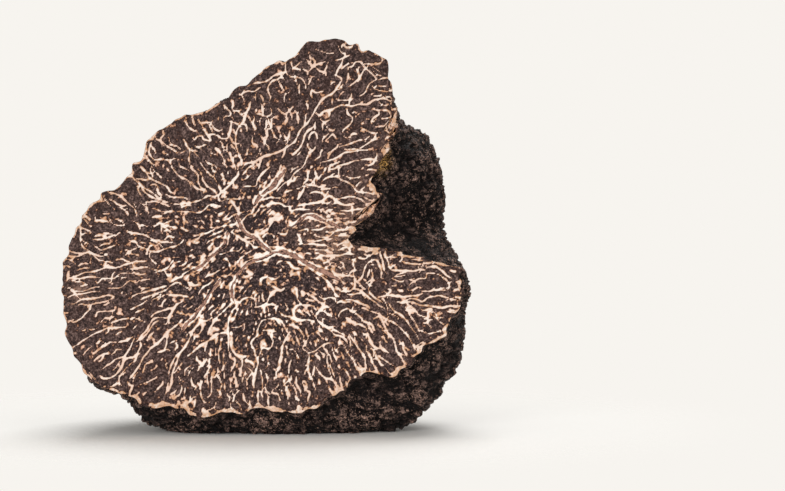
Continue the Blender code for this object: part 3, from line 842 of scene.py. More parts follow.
@dataclass(frozen=True)
class Rim:
    """The ragged edge of the cut, where warts of the rind are cut through."""

    warts: Warts
    body: Body
    columns: int = 640
    fine_steps: int = 7200  # in which the smooth cut edge is measured
    rounding: float = 0.22  # how far behind the cut's plane its outermost edge lies, in mm
    steepest: float = 2.0  # most that teeth are stretched where the edge runs steeply
    smoothing: tuple[float, ...] = (0.0625, 0.25, 0.375, 0.25, 0.0625)  # shares of neighbours

    @cached_property
    def angles(self) -> np.ndarray:
        """The angles of the rim's points, which lie in equal steps along the smooth cut edge.

        Returns:
            The angles in degrees.
        """
        turn = np.linspace(-180, 180, self.fine_steps + 1)
        x, z = radius_around(CUT_EDGE, turn) * (np.cos(np.radians(turn)), np.sin(np.radians(turn)))
        run = np.concatenate(([0], np.cumsum(np.hypot(np.diff(x), np.diff(z)))))
        return np.interp(np.arange(self.columns) * run[-1] / self.columns, run, turn)

    @cached_property
    def smooth(self) -> np.ndarray:
        """The points of the smooth cut edge, in mm."""
        return self.body.points(self.angles, np.zeros(self.columns))

    @cached_property
    def heights(self) -> np.ndarray:
        """How far the warts push the cut edge out along its radius.

        Each height is averaged with its neighbours', as the cut is clean, and is stretched where
        the edge runs steeply, so that its teeth stand out of the edge there too.

        Returns:
            The height in mm at each point of the rim.
        """
        rough = self.warts.heights(self.smooth)[0]
        neighbours = range(-2, 3)
        heights = sum(share * np.roll(rough, step) for share, step in zip(self.smoothing, neighbours))
        return heights * np.minimum(np.sqrt(1 + steepness(self.angles) ** 2), self.steepest)

    @cached_property
    def points(self) -> np.ndarray:
        """The rim's points in mm: the cut edge pushed out along its radius by the warts."""
        return self.smooth + unit(self.smooth) * self.heights[:, None]

    def radius(self, x: np.ndarray, z: np.ndarray) -> np.ndarray:
        """Radius of the rim, on straight lines between its points, as seen from each place.

        Args:
            x: places to the right of the heart, in mm.
            z: places above it.

        Returns:
            The radius at each place's angle.
        """
        right, up = self.points[:, 0], self.points[:, 2]
        turn = angle_of(right, up)
        order = np.argsort(turn)
        return np.interp(angle_of(x, z), turn[order], np.hypot(right, up)[order], period=360)


def make_piece(
    name: str, points: np.ndarray, faces: np.ndarray, slot: Slot, finish: "Finish", **values: np.ndarray
) -> bpy.types.Object:
    """Makes one smooth-shaded piece that stands for the CAD body and rides with it.

    Args:
        name: name of the piece.
        points: its points in metres, one row each.
        faces: its four-sided faces, as rows of point numbers.
        slot: the record's material slot meant for the piece; it is not used.
        finish: what its material is made from.
        **values: numbers kept on the points for the piece's material, by name.

    Returns:
        The piece.
    """
    mesh = bpy.data.meshes.new(name)
    mesh.vertices.add(len(points))
    mesh.vertices.foreach_set("co", points.astype(np.float32).ravel())
    mesh.loops.add(faces.size)
    mesh.loops.foreach_set("vertex_index", faces.astype(np.int32).ravel())
    mesh.polygons.add(len(faces))
    mesh.polygons.foreach_set("loop_start", np.arange(len(faces), dtype=np.int32) * 4)
    mesh.update(calc_edges=True)
    mesh.validate()
    mesh.shade_smooth()
    for label, numbers in values.items():
        kept = mesh.attributes.new(label, "FLOAT", "POINT")
        kept.data.foreach_set("value", numbers.astype(np.float32).ravel())
    mesh.materials.append(finish.material())
    piece = bpy.data.objects.new(name, mesh)
    bpy.context.scene.collection.objects.link(piece)
    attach(piece, BODY)
    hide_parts(NODE)
    return piece


class Shade:
    """A number that a node tree works out, for use in Python expressions."""

    def __init__(self, tree: "Tree", socket: bpy.types.NodeSocket) -> None:
        """Wraps a socket of a tree."""
        self.tree = tree
        self.socket = socket

    def _sum(self, kind: Sum, first: "Shade | float", second: "Shade | float") -> "Shade":
        """A Math node on two numbers."""
        return self.tree.node("ShaderNodeMath", {"operation": kind.value}, {0: first, 1: second})

    def __add__(self, other: "Shade | float") -> "Shade":
        """This number plus another."""
        return self._sum(Sum.ADD, self, other)

    __radd__ = __add__

    def __sub__(self, other: "Shade | float") -> "Shade":
        """This number less another."""
        return self._sum(Sum.SUBTRACT, self, other)

    def __rsub__(self, other: float) -> "Shade":
        """A plain number less this one."""
        return self._sum(Sum.SUBTRACT, other, self)

    def __mul__(self, other: "Shade | float") -> "Shade":
        """This number times another."""
        return self._sum(Sum.MULTIPLY, self, other)

    __rmul__ = __mul__

    def ease(self, low: float, high: float) -> "Shade":
        """A smooth step: 0 on the side of low and 1 on the side of high.

        Args:
            low: number up to which the step is 0; it may be above high.
            high: number from which the step is 1.

        Returns:
            The step.
        """
        ends = {"From Min": min(low, high), "From Max": max(low, high)}
        if low > high:
            ends |= {"To Min": 1.0, "To Max": 0.0}
        settings = {"interpolation_type": "SMOOTHSTEP"}
        return self.tree.node("ShaderNodeMapRange", settings, {"Value": self, **ends})


class Tree:
    """The node tree of a material or world, and the one method that adds any node to it."""

    def __init__(self, owner: bpy.types.Material | bpy.types.World) -> None:
        """Empties the owner's tree.

        Args:
            owner: the material or world.
        """
        self.owner = owner
        owner.use_nodes = True
        owner.node_tree.nodes.clear()

    @cached_property
    def place(self) -> Shade:
        """Place on the piece, in metres."""
        return self.node("ShaderNodeTexCoord", output="Object")

    def node(
        self,
        kind: str,
        settings: dict[str, str] | None = None,
        sockets: dict[str | int, object] | None = None,
        output: str | int = 0,
    ) -> Shade:
        """Adds a node.

        Args:
            kind: the node's type.
            settings: what is set on the node itself.
            sockets: values or links of its inputs, by name or number.
            output: the output that is wanted.

        Returns:
            That output, or nothing to use from a node that has none.
        """
        node = self.owner.node_tree.nodes.new(kind)
        for label, value in (settings or {}).items():
            setattr(node, label, value)
        for label, value in (sockets or {}).items():
            if isinstance(value, Shade):
                self.owner.node_tree.links.new(value.socket, node.inputs[label])
            else:
                node.inputs[label].default_value = value
        return Shade(self, node.outputs[output] if node.outputs else None)

    def kept(self, label: str) -> Shade:
        """A number kept on the piece's points."""
        return self.node("ShaderNodeAttribute", {"attribute_name": label}, output="Fac")

    def mottle(
        self, size: float, detail: float = 2.0, roughness: float = 0.5, drawn_out: float = 1.0
    ) -> Shade:
        """Cloudy noise, about 0.5 on average.

        Args:
            size: how far apart its clouds are, in mm.
            detail: how many times finer noise is added.
            roughness: how strong the finer noise is.
            drawn_out: how many times longer the clouds are in x than across it.

        Returns:
            The noise.
        """
        stretch = {"Vector": self.place, "Scale": (1 / drawn_out, 1, 1)}
        place = self.node("ShaderNodeMapping", sockets=stretch)
        sockets = {"Vector": place, "Scale": 1 / (size * MM), "Detail": detail, "Roughness": roughness}
        return self.node("ShaderNodeTexNoise", sockets=sockets)

    def blend(self, share: Shade | float, first: Shade | Colour, second: Shade | Colour) -> Shade:
        """A mix of two colours.

        Args:
            share: 0 for all the first colour and 1 for all the second.
            first: a colour.
            second: another one.

        Returns:
            The mix.
        """
        ends = [colour if isinstance(colour, Shade) else (*colour, 1.0) for colour in (first, second)]
        sockets = {"Factor": share, 6: ends[0], 7: ends[1]}
        return self.node("ShaderNodeMix", {"data_type": "RGBA"}, sockets, output=2)

    def coat(self, colour: Shade, roughness: Shade, gloss: float, relief: Shade) -> bpy.types.Material:
        """Makes the material a surface of one colour, roughness and fine relief.

        Args:
            colour: colour over the surface.
            roughness: roughness over the surface.
            gloss: strength of its reflections, where 0.5 is that of plastic.
            relief: fine relief in mm.

        Returns:
            The material.
        """
        bump = self.node("ShaderNodeBump", sockets={"Distance": MM, "Height": relief, "Strength": 1.0})
        sockets = {"Base Color": colour, "Roughness": roughness, "Specular IOR Level": gloss}
        return self.surface(self.node("ShaderNodeBsdfPrincipled", sockets=sockets | {"Normal": bump}))

    def surface(self, shader: Shade) -> bpy.types.Material:
        """Makes a shader the material's surface and returns the material."""
        self.node("ShaderNodeOutputMaterial", sockets={"Surface": shader})
        return self.owner


@dataclass(frozen=True)
class RindFinish:
    """Nearly black warts with brown facets, partly painted highlights on the ridges, grooves blackened
    with painted shade, a few tan scars and painted shade in the notch's hollow.
    """

    # Near-black of the grooves: the rind's own dark tone, deepened with painted shade in the creases
    groove: Colour = (0.004, 0.0022, 0.002)
    wart: Colour = (0.032, 0.019, 0.017)
    # Brown of the worn facets: partly wear, partly a painted highlight on the ridges
    facet: Colour = (0.27, 0.17, 0.14)
    scar: Colour = (0.62, 0.38, 0.29)
    ochre: Colour = (1.0, 0.56, 0.16)
    chip: float = 0.8  # size of the chips in mm
    gloss: float = 0.17

    def material(self) -> bpy.types.Material:
        """Builds the finish: colours by height above the grooves, broken up by grit and fibres.

        Returns:
            The material.
        """
        tree = Tree(bpy.data.materials.new("truffle_rind"))
        high = tree.kept("high")
        cloud = tree.mottle(5.0, 3.0)
        grit, flake = tree.mottle(0.7, 3.0, 0.65), tree.mottle(0.3, 2.0, 0.6)
        cells = {"Vector": tree.place, "Scale": 1 / (self.chip * MM)}
        chips = tree.node("ShaderNodeTexVoronoi", sockets=cells, output="Distance")
        fibre = tree.mottle(0.5, 3.0, 0.6, drawn_out=2.6)
        sparks = tree.mottle(0.2, 1.0)

        # Warts above the grooves, whose black is partly painted shade; worn facets on the highest, partly
        # painted highlights; then scars, ochre and painted shade in the notch's hollow
        rough = (grit * 0.25 + flake * 0.3 + fibre * 0.45).ease(0.4, 0.62)
        level = high * 0.5 + rough * 0.6
        # Brown worn facets on the highest warts: partly wear, partly a painted highlight on the ridges
        worn_and_highlit = level.ease(0.55, 1.0) * cloud.ease(0.2, 0.6)
        scarred = sparks.ease(0.57, 0.66) * level.ease(0.3, 0.6) * cloud.ease(0.35, 0.6)
        # Painted shade: the grooves' near-black darkens the creases between warts, on top of the rind's
        # own dark tone
        colour = tree.blend(level.ease(0.3, 0.8), self.groove, self.wart)
        colour = tree.blend(worn_and_highlit, colour, self.facet)
        colour = tree.blend(scarred * 0.85, colour, self.scar)
        colour = tree.blend(tree.kept("ochre") * sparks.ease(0.48, 0.54), colour, self.ochre)
        # Painted shade: the hollow at the notch's inner corner is darkened towards the grooves' colour
        colour = tree.blend(tree.kept("recess") * 0.8, colour, self.groove)

        relief = (1 - chips) * 0.2 + grit * 0.55 + flake * 0.45 + fibre * 0.7
        return tree.coat(colour, 0.3 + grit * 0.36, self.gloss, relief)


@dataclass(frozen=True)
class CutFinish:
    """Moist dark flesh, and cream veins with peach edges that turn peach towards the rind."""

    core: Colour = (0.034, 0.021, 0.021)
    flesh: Colour = (0.07, 0.039, 0.033)
    warm: Colour = (0.25, 0.16, 0.14)
    shade: Colour = (0.007, 0.003, 0.0035)
    haze: Colour = (0.4, 0.23, 0.16)
    channel: Colour = (0.46, 0.25, 0.185)
    gold: Colour = (0.6, 0.31, 0.15)
    halo: Colour = (0.034, 0.013, 0.0095)
    seam: Colour = (0.3, 0.125, 0.065)
    peach: Colour = (0.8, 0.5, 0.36)
    cream: Colour = (0.99, 0.92, 0.84)
    gloss: float = 0.15

    def material(self) -> bpy.types.Material:
        """Builds the finish: flesh, then the veins over it by how deep inside one a place lies.

        Returns:
            The material.
        """
        tree = Tree(bpy.data.materials.new("truffle_cut_flesh"))
        vein, far, pale, channel = (tree.kept(label) for label in ("vein", "far", "pale", "channel"))
        cloud, speck = tree.mottle(4.0, 2.0), tree.mottle(0.55, 3.0, 0.7)
        fine = tree.mottle(0.26, 1.0)
        grain = speck * 0.5 + fine * 0.5

        # Flesh: lighter towards the rind, with warm and dark grains, and dark close to veins
        flesh = tree.blend(far.ease(0.0, 0.8) * 0.75 + cloud * 0.3, self.core, self.flesh)
        flesh = tree.blend(grain.ease(0.5, 0.68), flesh, self.warm)
        flesh = tree.blend(grain.ease(0.53, 0.36) * 0.95, flesh, self.shade)
        flesh = tree.blend(pale * speck.ease(0.36, 0.64), flesh, self.haze)
        flesh = tree.blend(channel.ease(0.5, 0.75) * grain.ease(0.3, 0.62), flesh, self.channel)
        flesh = tree.blend(vein.ease(-0.45, -0.1) * 0.6, flesh, self.halo)

        # Veins: cream inside, peach at their edges and towards the rind, gold here and there
        warmth = far * 0.3 + cloud.ease(0.45, 0.65) * 0.4
        golden = tree.mottle(1.3, 1.0).ease(0.48, 0.62) * vein.ease(0.8, 0.15)
        body = tree.blend(vein.ease(0.1, 0.45), self.peach, tree.blend(warmth, self.cream, self.peach))
        body = tree.blend(golden * 0.8, body, self.gold)
        body = tree.blend(tree.kept("rim") * speck.ease(0.6, 0.42) * 0.75, body, self.gold)
        body = tree.blend(grain.ease(0.46, 0.34) * 0.18, body, self.seam)

        # Ragged edge between the two, with a thin brown seam
        ragged = vein + (fine - 0.5) * 0.6
        line = tree.blend(ragged.ease(-0.04, 0.17), self.seam, body)
        colour = tree.blend(ragged.ease(-0.07, 0.03), flesh, line)
        relief = vein.ease(-0.2, 0.5) * 0.05 + speck * 0.1
        return tree.coat(colour, 0.5 + speck * 0.2, self.gloss, relief)


@dataclass(frozen=True)
class FloorFinish:
    """A pale table that fades into the pale room round it."""

    colour: Colour = (0.91, 0.9, 0.875)
    fade: tuple[float, float] = (0.028, 0.085)  # metres from the middle

    def material(self) -> bpy.types.Material:
        """Builds the finish.

        Returns:
            The material.
        """
        tree = Tree(bpy.data.materials.new("pale_floor"))
        away = tree.node("ShaderNodeVectorMath", {"operation": "LENGTH"}, {0: tree.place}, output="Value")
        matt = tree.node("ShaderNodeBsdfDiffuse", sockets={"Color": (*self.colour, 1.0)})
        clear = tree.node("ShaderNodeBsdfTransparent")
        faded = tree.node("ShaderNodeMixShader", sockets={0: away.ease(*self.fade), 1: matt, 2: clear})
        return tree.surface(faded)


# What a piece of the truffle is finished in
Finish = RindFinish | CutFinish


@dataclass(frozen=True)
class Spot:
    """A soft round spot in space, in mm."""

    place: tuple[float, float, float]
    reach: float

    def at(self, points: np.ndarray) -> np.ndarray:
        """1 in the middle of the spot and 0 far from it: exp(-(distance / reach)^2)."""
        return np.exp(-np.sum((points - self.place) ** 2, axis=-1) / self.reach**2)


@dataclass(frozen=True)
class Rind:
    """The warty outside, from the rim of the cut round to the back and down to the flat spot."""

    body: Body
    rim: Rim
    placement: Placement
    rows: int = 154
    crowding: float = 1.28  # 1 spaces the rows evenly, and more crowds them near the cut
    lip: float = 0.35  # how far the lip turns in behind the cut face, in mm
    settle: float = 1.8  # how far behind the cut, in mm, the warts stand square to the body
    join: float = 1.2  # how far behind the cut the rim's smoothed heights fade out
    rounding_reach: float = 2.0  # how far behind the cut the rim's rounding fades out
    least_depth: float = 0.5  # share of the smooth body's depth that every point keeps
    hollow: float = 0.35  # unevenness of the flat spot in mm
    hollow_swells: Swells = Swells(4.0, 9.0, seed=9)
    ochre: Spot = Spot((23.4, 1.0, 18.8), 1.6)
    # Painted shade: where the rind is darkened in the hollow at the notch's inner corner
    recess: Spot = Spot((20.5, 2.5, 6.5), 2.2)
    finish: RindFinish = RindFinish()

    def surface(self) -> tuple[np.ndarray, np.ndarray]:
        """Points of the rind and how clear of the grooves each is.

        The grid has a column for each point of the rim. Its rows run from the rim to the back at
        profile angles of 90 * (row / rows)^crowding, so that they lie closer near the cut. Each
        point is pushed out along the body's normal by the height of the warts. Near the rim the
        push turns to the radius, within the plane of the cut. What would lie below the floor is
        pressed nearly level.

        Returns:
            The points in mm, row by row, and how clear they are, from 0 to 1.
        """
        profile = 90 * (np.arange(self.rows) / self.rows) ** self.crowding
        smooth = self.body.points(*np.meshgrid(self.rim.angles, profile))
        depth = smooth[..., 1]
        heights, high = self.rim.warts.heights(smooth)
        behind = ease(depth / self.join)
        heights = heights * behind + self.rim.heights * (1 - behind)
        radial = unit(smooth * (1, 0, 1))
        square = ease(depth / self.settle)[..., None]
        points = smooth + unit(radial + (self.normals(smooth) - radial) * square) * heights[..., None]
        points[..., 1] = np.maximum(points[..., 1], depth * self.least_depth)
        points[0] = self.rim.points
        points[..., 1] += self.rim.rounding * (1 - ease(depth / self.rounding_reach))
        swells = np.clip(self.hollow_swells.at(smooth), 0, 1)
        hollow = self.hollow * (1 - high) + self.hollow * swells
        points[..., 2] = np.maximum(points[..., 2], hollow - self.body.heart_height)
        return points, high

    @staticmethod
    def normals(smooth: np.ndarray) -> np.ndarray:
        """Directions square to a grid of points, across its rows and columns and pointing out."""
        along = np.roll(smooth, -1, axis=1) - np.roll(smooth, 1, axis=1)
        return -unit(np.cross(along, np.gradient(smooth, axis=0)))

    def build(self) -> bpy.types.Object:
        """Makes the rind, with a lip that turns in behind the cut face.

        Returns:
            The piece.
        """
        points, high = self.surface()
        columns = self.rim.columns
        inner = points[0] - unit(points[0]) * self.lip + np.array((0, self.lip, 0))
        end = points[-1].mean(axis=0)
        grid = np.concatenate((inner[None], points, np.broadcast_to(end, (1, columns, 3))))
        high = np.concatenate((high[:1], high, high[-1:]))
        row, column = np.mgrid[: len(grid) - 1, :columns]
        corners = (row * columns + column, row * columns + (column + 1) % columns)
        behind = (corners[1] + columns, corners[0] + columns)
        return make_piece(
            "rind",
            self.placement.world(grid.reshape(-1, 3)),
            np.stack(corners + behind, axis=-1).reshape(-1, 4),
            Slot.RIND,
            self.finish,
            high=high,
            ochre=self.ochre.at(grid),
            # painted shade in the notch's hollow
            recess=self.recess.at(grid),
        )


@dataclass(frozen=True)
class Grid:
    """A flat grid over the cut face, on which fields are worked out as whole arrays."""

    step: float = 0.1  # in mm

    @cached_property
    def x(self) -> np.ndarray:
        """How far right of the heart each column is, in mm."""
        return np.arange(*ACROSS, self.step)

    @cached_property
    def z(self) -> np.ndarray:
        """How far above the heart each row is, in mm."""
        return np.arange(*UPRIGHT, self.step)

    @cached_property
    def shape(self) -> tuple[int, int]:
        """How many rows and columns there are."""
        return len(self.z), len(self.x)

    @cached_property
    def places(self) -> tuple[np.ndarray, np.ndarray]:
        """How far right of the heart and above it each point of the grid is, in mm."""
        right, up = np.meshgrid(self.x, self.z)
        return right, up

    def bell(self, along: float, across: float, angle: float = 0.0) -> np.ndarray:
        """Transform of a bell-shaped blur, exp(-2 pi^2 ((along * u)^2 + (across * v)^2)).

        Here u and v are the waves for each mm in the direction of the angle and across it.

        Args:
            along: spread of the bell in the direction of the angle, in mm.
            across: its spread the other way.
            angle: the direction, in radians.

        Returns:
            The transform.
        """
        wave_x = np.fft.rfftfreq(self.shape[1], self.step)[None, :]
        wave_z = np.fft.fftfreq(self.shape[0], self.step)[:, None]
        c, s = math.cos(angle), math.sin(angle)
        u, v = wave_x * c + wave_z * s, wave_z * c - wave_x * s
        return np.exp(-2 * math.pi**2 * ((along * u) ** 2 + (across * v) ** 2))

    def from_waves(self, waves: np.ndarray) -> np.ndarray:
        """The field that has a transform."""
        return np.fft.irfft2(waves, s=self.shape)

    def blurred(self, field: np.ndarray, spread: float) -> np.ndarray:
        """A field blurred by a round bell, whose spread is in mm."""
        return self.from_waves(np.fft.rfft2(field) * self.bell(spread, spread))

    def clouds(self, size: float, seed: int) -> np.ndarray:
        """Smooth random clouds of one size in mm, about 0 on average and with a spread of 1."""
        field = self.blurred(np.random.default_rng(seed).standard_normal(self.shape), size)
        return field / field.std()

    def mixed(self, mix: Mix) -> np.ndarray:
        """The sum of several clouds."""
        return sum(strength * self.clouds(size, seed) for strength, size, seed in mix)

    def cell(self, x: float, z: float) -> tuple[int, int]:
        """Row and column of the grid's point nearest a place."""
        row, column = round((z - self.z[0]) / self.step), round((x - self.x[0]) / self.step)
        return min(max(row, 0), self.shape[0] - 1), min(max(column, 0), self.shape[1] - 1)

    def sample(self, field: np.ndarray, x: np.ndarray, z: np.ndarray) -> np.ndarray:
        """A field's value at any places, in straight lines between the grid's points.

        Args:
            field: the field on the grid.
            x: places to the right of the heart, in mm.
            z: places above it.

        Returns:
            The values.
        """
        u, v = (x - self.x[0]) / self.step, (z - self.z[0]) / self.step
        i, j = np.floor(u).astype(int), np.floor(v).astype(int)
        u, v = u - i, v - j
        low = field[j, i] * (1 - u) + field[j, i + 1] * u
        high = field[j + 1, i] * (1 - u) + field[j + 1, i + 1] * u
        return low * (1 - v) + high * v


@dataclass(frozen=True)
class Brush:
    """Draws veins on the grid as rows of soft round dabs."""

    grid: Grid
    spacing: float = 0.04  # about how far apart the dabs are, in mm
    wavers: tuple[tuple[float, float], ...] = ((0.2, 3.7), (0.16, 9.4))  # share of the width, pace
    tip: float = 0.45  # width at a vein's ends, as a share of its own
    taper: float = 0.9  # length of a tapered end in mm
    bell_width: float = 2.355  # width of a bell curve half way up, in spreads
    dab_reach: tuple[int, int] = (16, 3)  # steps for each mm of width, and steps more

    def dabs(self, points: Route) -> np.ndarray:
        """Close points along a smooth curve through a vein's own points (Catmull-Rom).

        Args:
            points: at least two points in mm.

        Returns:
            The close points, one row each.
        """
        p = np.array(points, float)
        p = np.vstack((2 * p[0] - p[1], p, 2 * p[-1] - p[-2]))
        parts = []
        for a, b, c, d in zip(p, p[1:], p[2:], p[3:]):
            count = max(2, int(np.hypot(*(c - b)) / self.spacing))
            t = (np.arange(count) / count)[:, None]
            cubic = (3 * b - 3 * c + d - a) * t**3 + (2 * a - 5 * b + 4 * c - d) * t**2
            parts.append((cubic + (c - a) * t + 2 * b) / 2)
        return np.vstack(parts)

    def drawn(self, veins: Sequence[Vein], widening: float = 1.0, seed: int = 21) -> np.ndarray:
        """Field of the veins: 1 along a vein, 0.5 at its sides, and more where veins fork.

        Every dab adds a bell as wide as the vein half way up, scaled so that a straight vein adds
        up to 1. The width wavers along the vein as two sines, and the vein tapers at its ends.

        Args:
            veins: the veins, each as its width and its points.
            widening: factor on every vein's width.
            seed: what the wavers are drawn from.

        Returns:
            The field on the grid.
        """
        step, columns = self.grid.step, self.grid.shape[1]
        field = np.zeros(math.prod(self.grid.shape))
        rng = np.random.default_rng(seed)
        for width, *points in veins:
            dabs = self.dabs(points)
            gap = np.hypot(*np.diff(dabs, axis=0, append=2 * dabs[-1:] - dabs[-2:-1]).T)[:, None, None]
            run = np.cumsum(gap, axis=0)
            waver = 1.0
            for (share, pace), phase in zip(self.wavers, rng.uniform(0, 2 * math.pi, 2)):
                waver = waver + share * np.sin(run * pace + phase)
            waver *= self.tip + (1 - self.tip) * ease(np.minimum(run, run[-1] - run) / self.taper)
            spread = width * widening / self.bell_width * waver
            reach = int(width * widening * self.dab_reach[0]) + self.dab_reach[1]
            down, over = np.mgrid[-reach : reach + 1, -reach : reach + 1]
            at = ((dabs - (self.grid.x[0], self.grid.z[0])) / step)[..., None, None]
            column = np.round(at[:, 0]).astype(int) + over
            row = np.round(at[:, 1]).astype(int) + down
            away = np.hypot(column - at[:, 0], row - at[:, 1]) * step
            bell = np.exp(-((away / spread) ** 2) / 2) * gap / spread / math.sqrt(2 * math.pi)
            field += np.bincount((row * columns + column).ravel(), bell.ravel(), field.size)
        return field.reshape(self.grid.shape)


@dataclass(frozen=True)
class Twigs:
    """Little forked veins, each grown from a random place roughly along the growth."""

    grid: Grid
    tries: int = 2100
    seed: int = 41
    low: tuple[float, float] = (-31, -26)  # corners of the part of the cut that they start in
    high: tuple[float, float] = (37, 41)
    widths: tuple[float, float] = (0.24, 0.38)
    steps: tuple[int, int] = (2, 5)  # of a stem, fewest and one more than most
    least_points: int = 3  # of a stem that is kept
    lengths: tuple[float, float] = (0.45, 0.8)  # of one step, in mm
    stray: float = 0.3  # spread in radians of how far a stem starts off the growth
    bend: float = 0.45  # spread in radians of the bend from step to step
    forks: tuple[float, float] = (0.5, 1.1)  # angle in radians between a prong and its stem
    prong: float = 0.85  # width of a prong, as a share of its stem's
    gap: int = 6  # steps of the grid that a twig keeps clear round it, times how sparse they are
    least_gap: int = 4
    widening: float = 0.8  # factor on their widths when they are drawn

    def grown_between(self, taken: np.ndarray, growth: np.ndarray, sparse: np.ndarray) -> list[Vein]:
        """Grows the twigs.

        A stem winds on for a few steps and then forks. It ends where it meets another vein, and
        places near it are then taken too.

        Args:
            taken: which places of the grid other veins take up; this is added to.
            growth: which way the flesh is drawn out at each place, in radians.
            sparse: about 1, and more where twigs keep farther apart.

        Returns:
            The twigs, as width and points.
        """
        rng = np.random.default_rng(self.seed)
        twigs: list[Vein] = []
        for start in rng.uniform(self.low, self.high, (self.tries, 2)):
            place = self.grid.cell(*start)
            if taken[place]:
                continue
            heading = growth[place] + rng.normal(0, self.stray) + math.pi * rng.integers(2)
            stem = self.stem(taken, tuple(start), heading, rng.integers(*self.steps), rng)
            if len(stem) < self.least_points:
                continue
            width = rng.uniform(*self.widths)
            twigs.append((width, *stem))
            for side, root in ((1, stem[-2]), (-1, stem[-1])):
                turned = heading + side * rng.uniform(*self.forks)
                prong = self.stem(taken, root, turned, 1, rng)
                if len(prong) > 1:
                    twigs.append((width * self.prong, *prong))
            for point in stem:
                row, column = self.grid.cell(*point)
                gap = max(round(self.gap * sparse[row, column]), self.least_gap)
                taken[row - gap : row + gap + 1, column - gap : column + gap + 1] = True
        return twigs

    def stem(
        self, taken: np.ndarray, start: Place, heading: float, steps: int, rng: np.random.Generator
    ) -> list[Place]:
        """Points of one winding stem, which stops at the first place that is taken.

        Args:
            taken: which places of the grid are taken.
            start: where the stem starts, in mm.
            heading: its first direction, in radians.
            steps: how many steps it takes at most.
            rng: what the steps are drawn from.

        Returns:
            The points, with the start.
        """
        stem = [start]
        for _ in range(steps):
            length = rng.uniform(*self.lengths)
            x, z = stem[-1][0] + length * math.cos(heading), stem[-1][1] + length * math.sin(heading)
            stem.append((x, z))
            if taken[self.grid.cell(x, z)]:
                break
            heading += rng.normal(0, self.bend)
        return stem


@dataclass(frozen=True)
class Flesh:
    """How the flesh lies at each place of the cut, as fields on the grid."""

    grid: Grid = Grid()
    middle: Place = (1.0, 1.0)  # of the dark middle of the cut, in mm
    dark: float = 7.0  # radius of that middle
    dark_fade: float = 16.0  # how far round it the flesh turns lighter
    core: float = 3.0  # more keeps the weight of an arrow from peaking at its place
    fall: float = 1.6  # how steeply the weight falls off
    bare: float = 0.9  # how much sparser small veins are in lanes and channels
    channel_room: float = 1.3  # factor on the channels' widths there

    @cached_property
    def brush(self) -> Brush:
        """What draws the veins."""
        return Brush(self.grid)

    @cached_property
    def far(self) -> np.ndarray:
        """0 in the dark middle and 1 towards the rind."""
        right, up = self.grid.places
        return ease((np.hypot(right - self.middle[0], up - self.middle[1]) - self.dark) / self.dark_fade)

    @cached_property
    def channel(self) -> np.ndarray:
        """1 along the brown channels, 0.5 at their sides and 0 away from them."""
        return self.brush.drawn(CHANNELS)

    @cached_property
    def growth(self) -> np.ndarray:
        """Which way the flesh is drawn out at each place.

        Each arrow counts by 1 / (distance^2 + core)^fall. The doubled angles are averaged,
        because a vein that runs backwards runs the same way.

        Returns:
            The direction in radians on the grid.
        """
        right, up = self.grid.places
        cosine, sine = np.zeros(self.grid.shape), np.zeros(self.grid.shape)
        for x, z, angle in GROWTH:
            weight = ((right - x) ** 2 + (up - z) ** 2 + self.core) ** -self.fall
            cosine += weight * math.cos(2 * math.radians(angle))
            sine += weight * math.sin(2 * math.radians(angle))
        return np.arctan2(sine, cosine) / 2

    @cached_property
    def sparse(self) -> np.ndarray:
        """How sparse small veins are: 0 where they crowd, 1 towards the rind, more in bare lanes."""
        bare = self.brush.drawn(LANES) + self.brush.drawn(CHANNELS, self.channel_room)
        return with_patches(self.far, *self.grid.places, PATCHES) + self.bare * np.clip(bare, 0, 1)


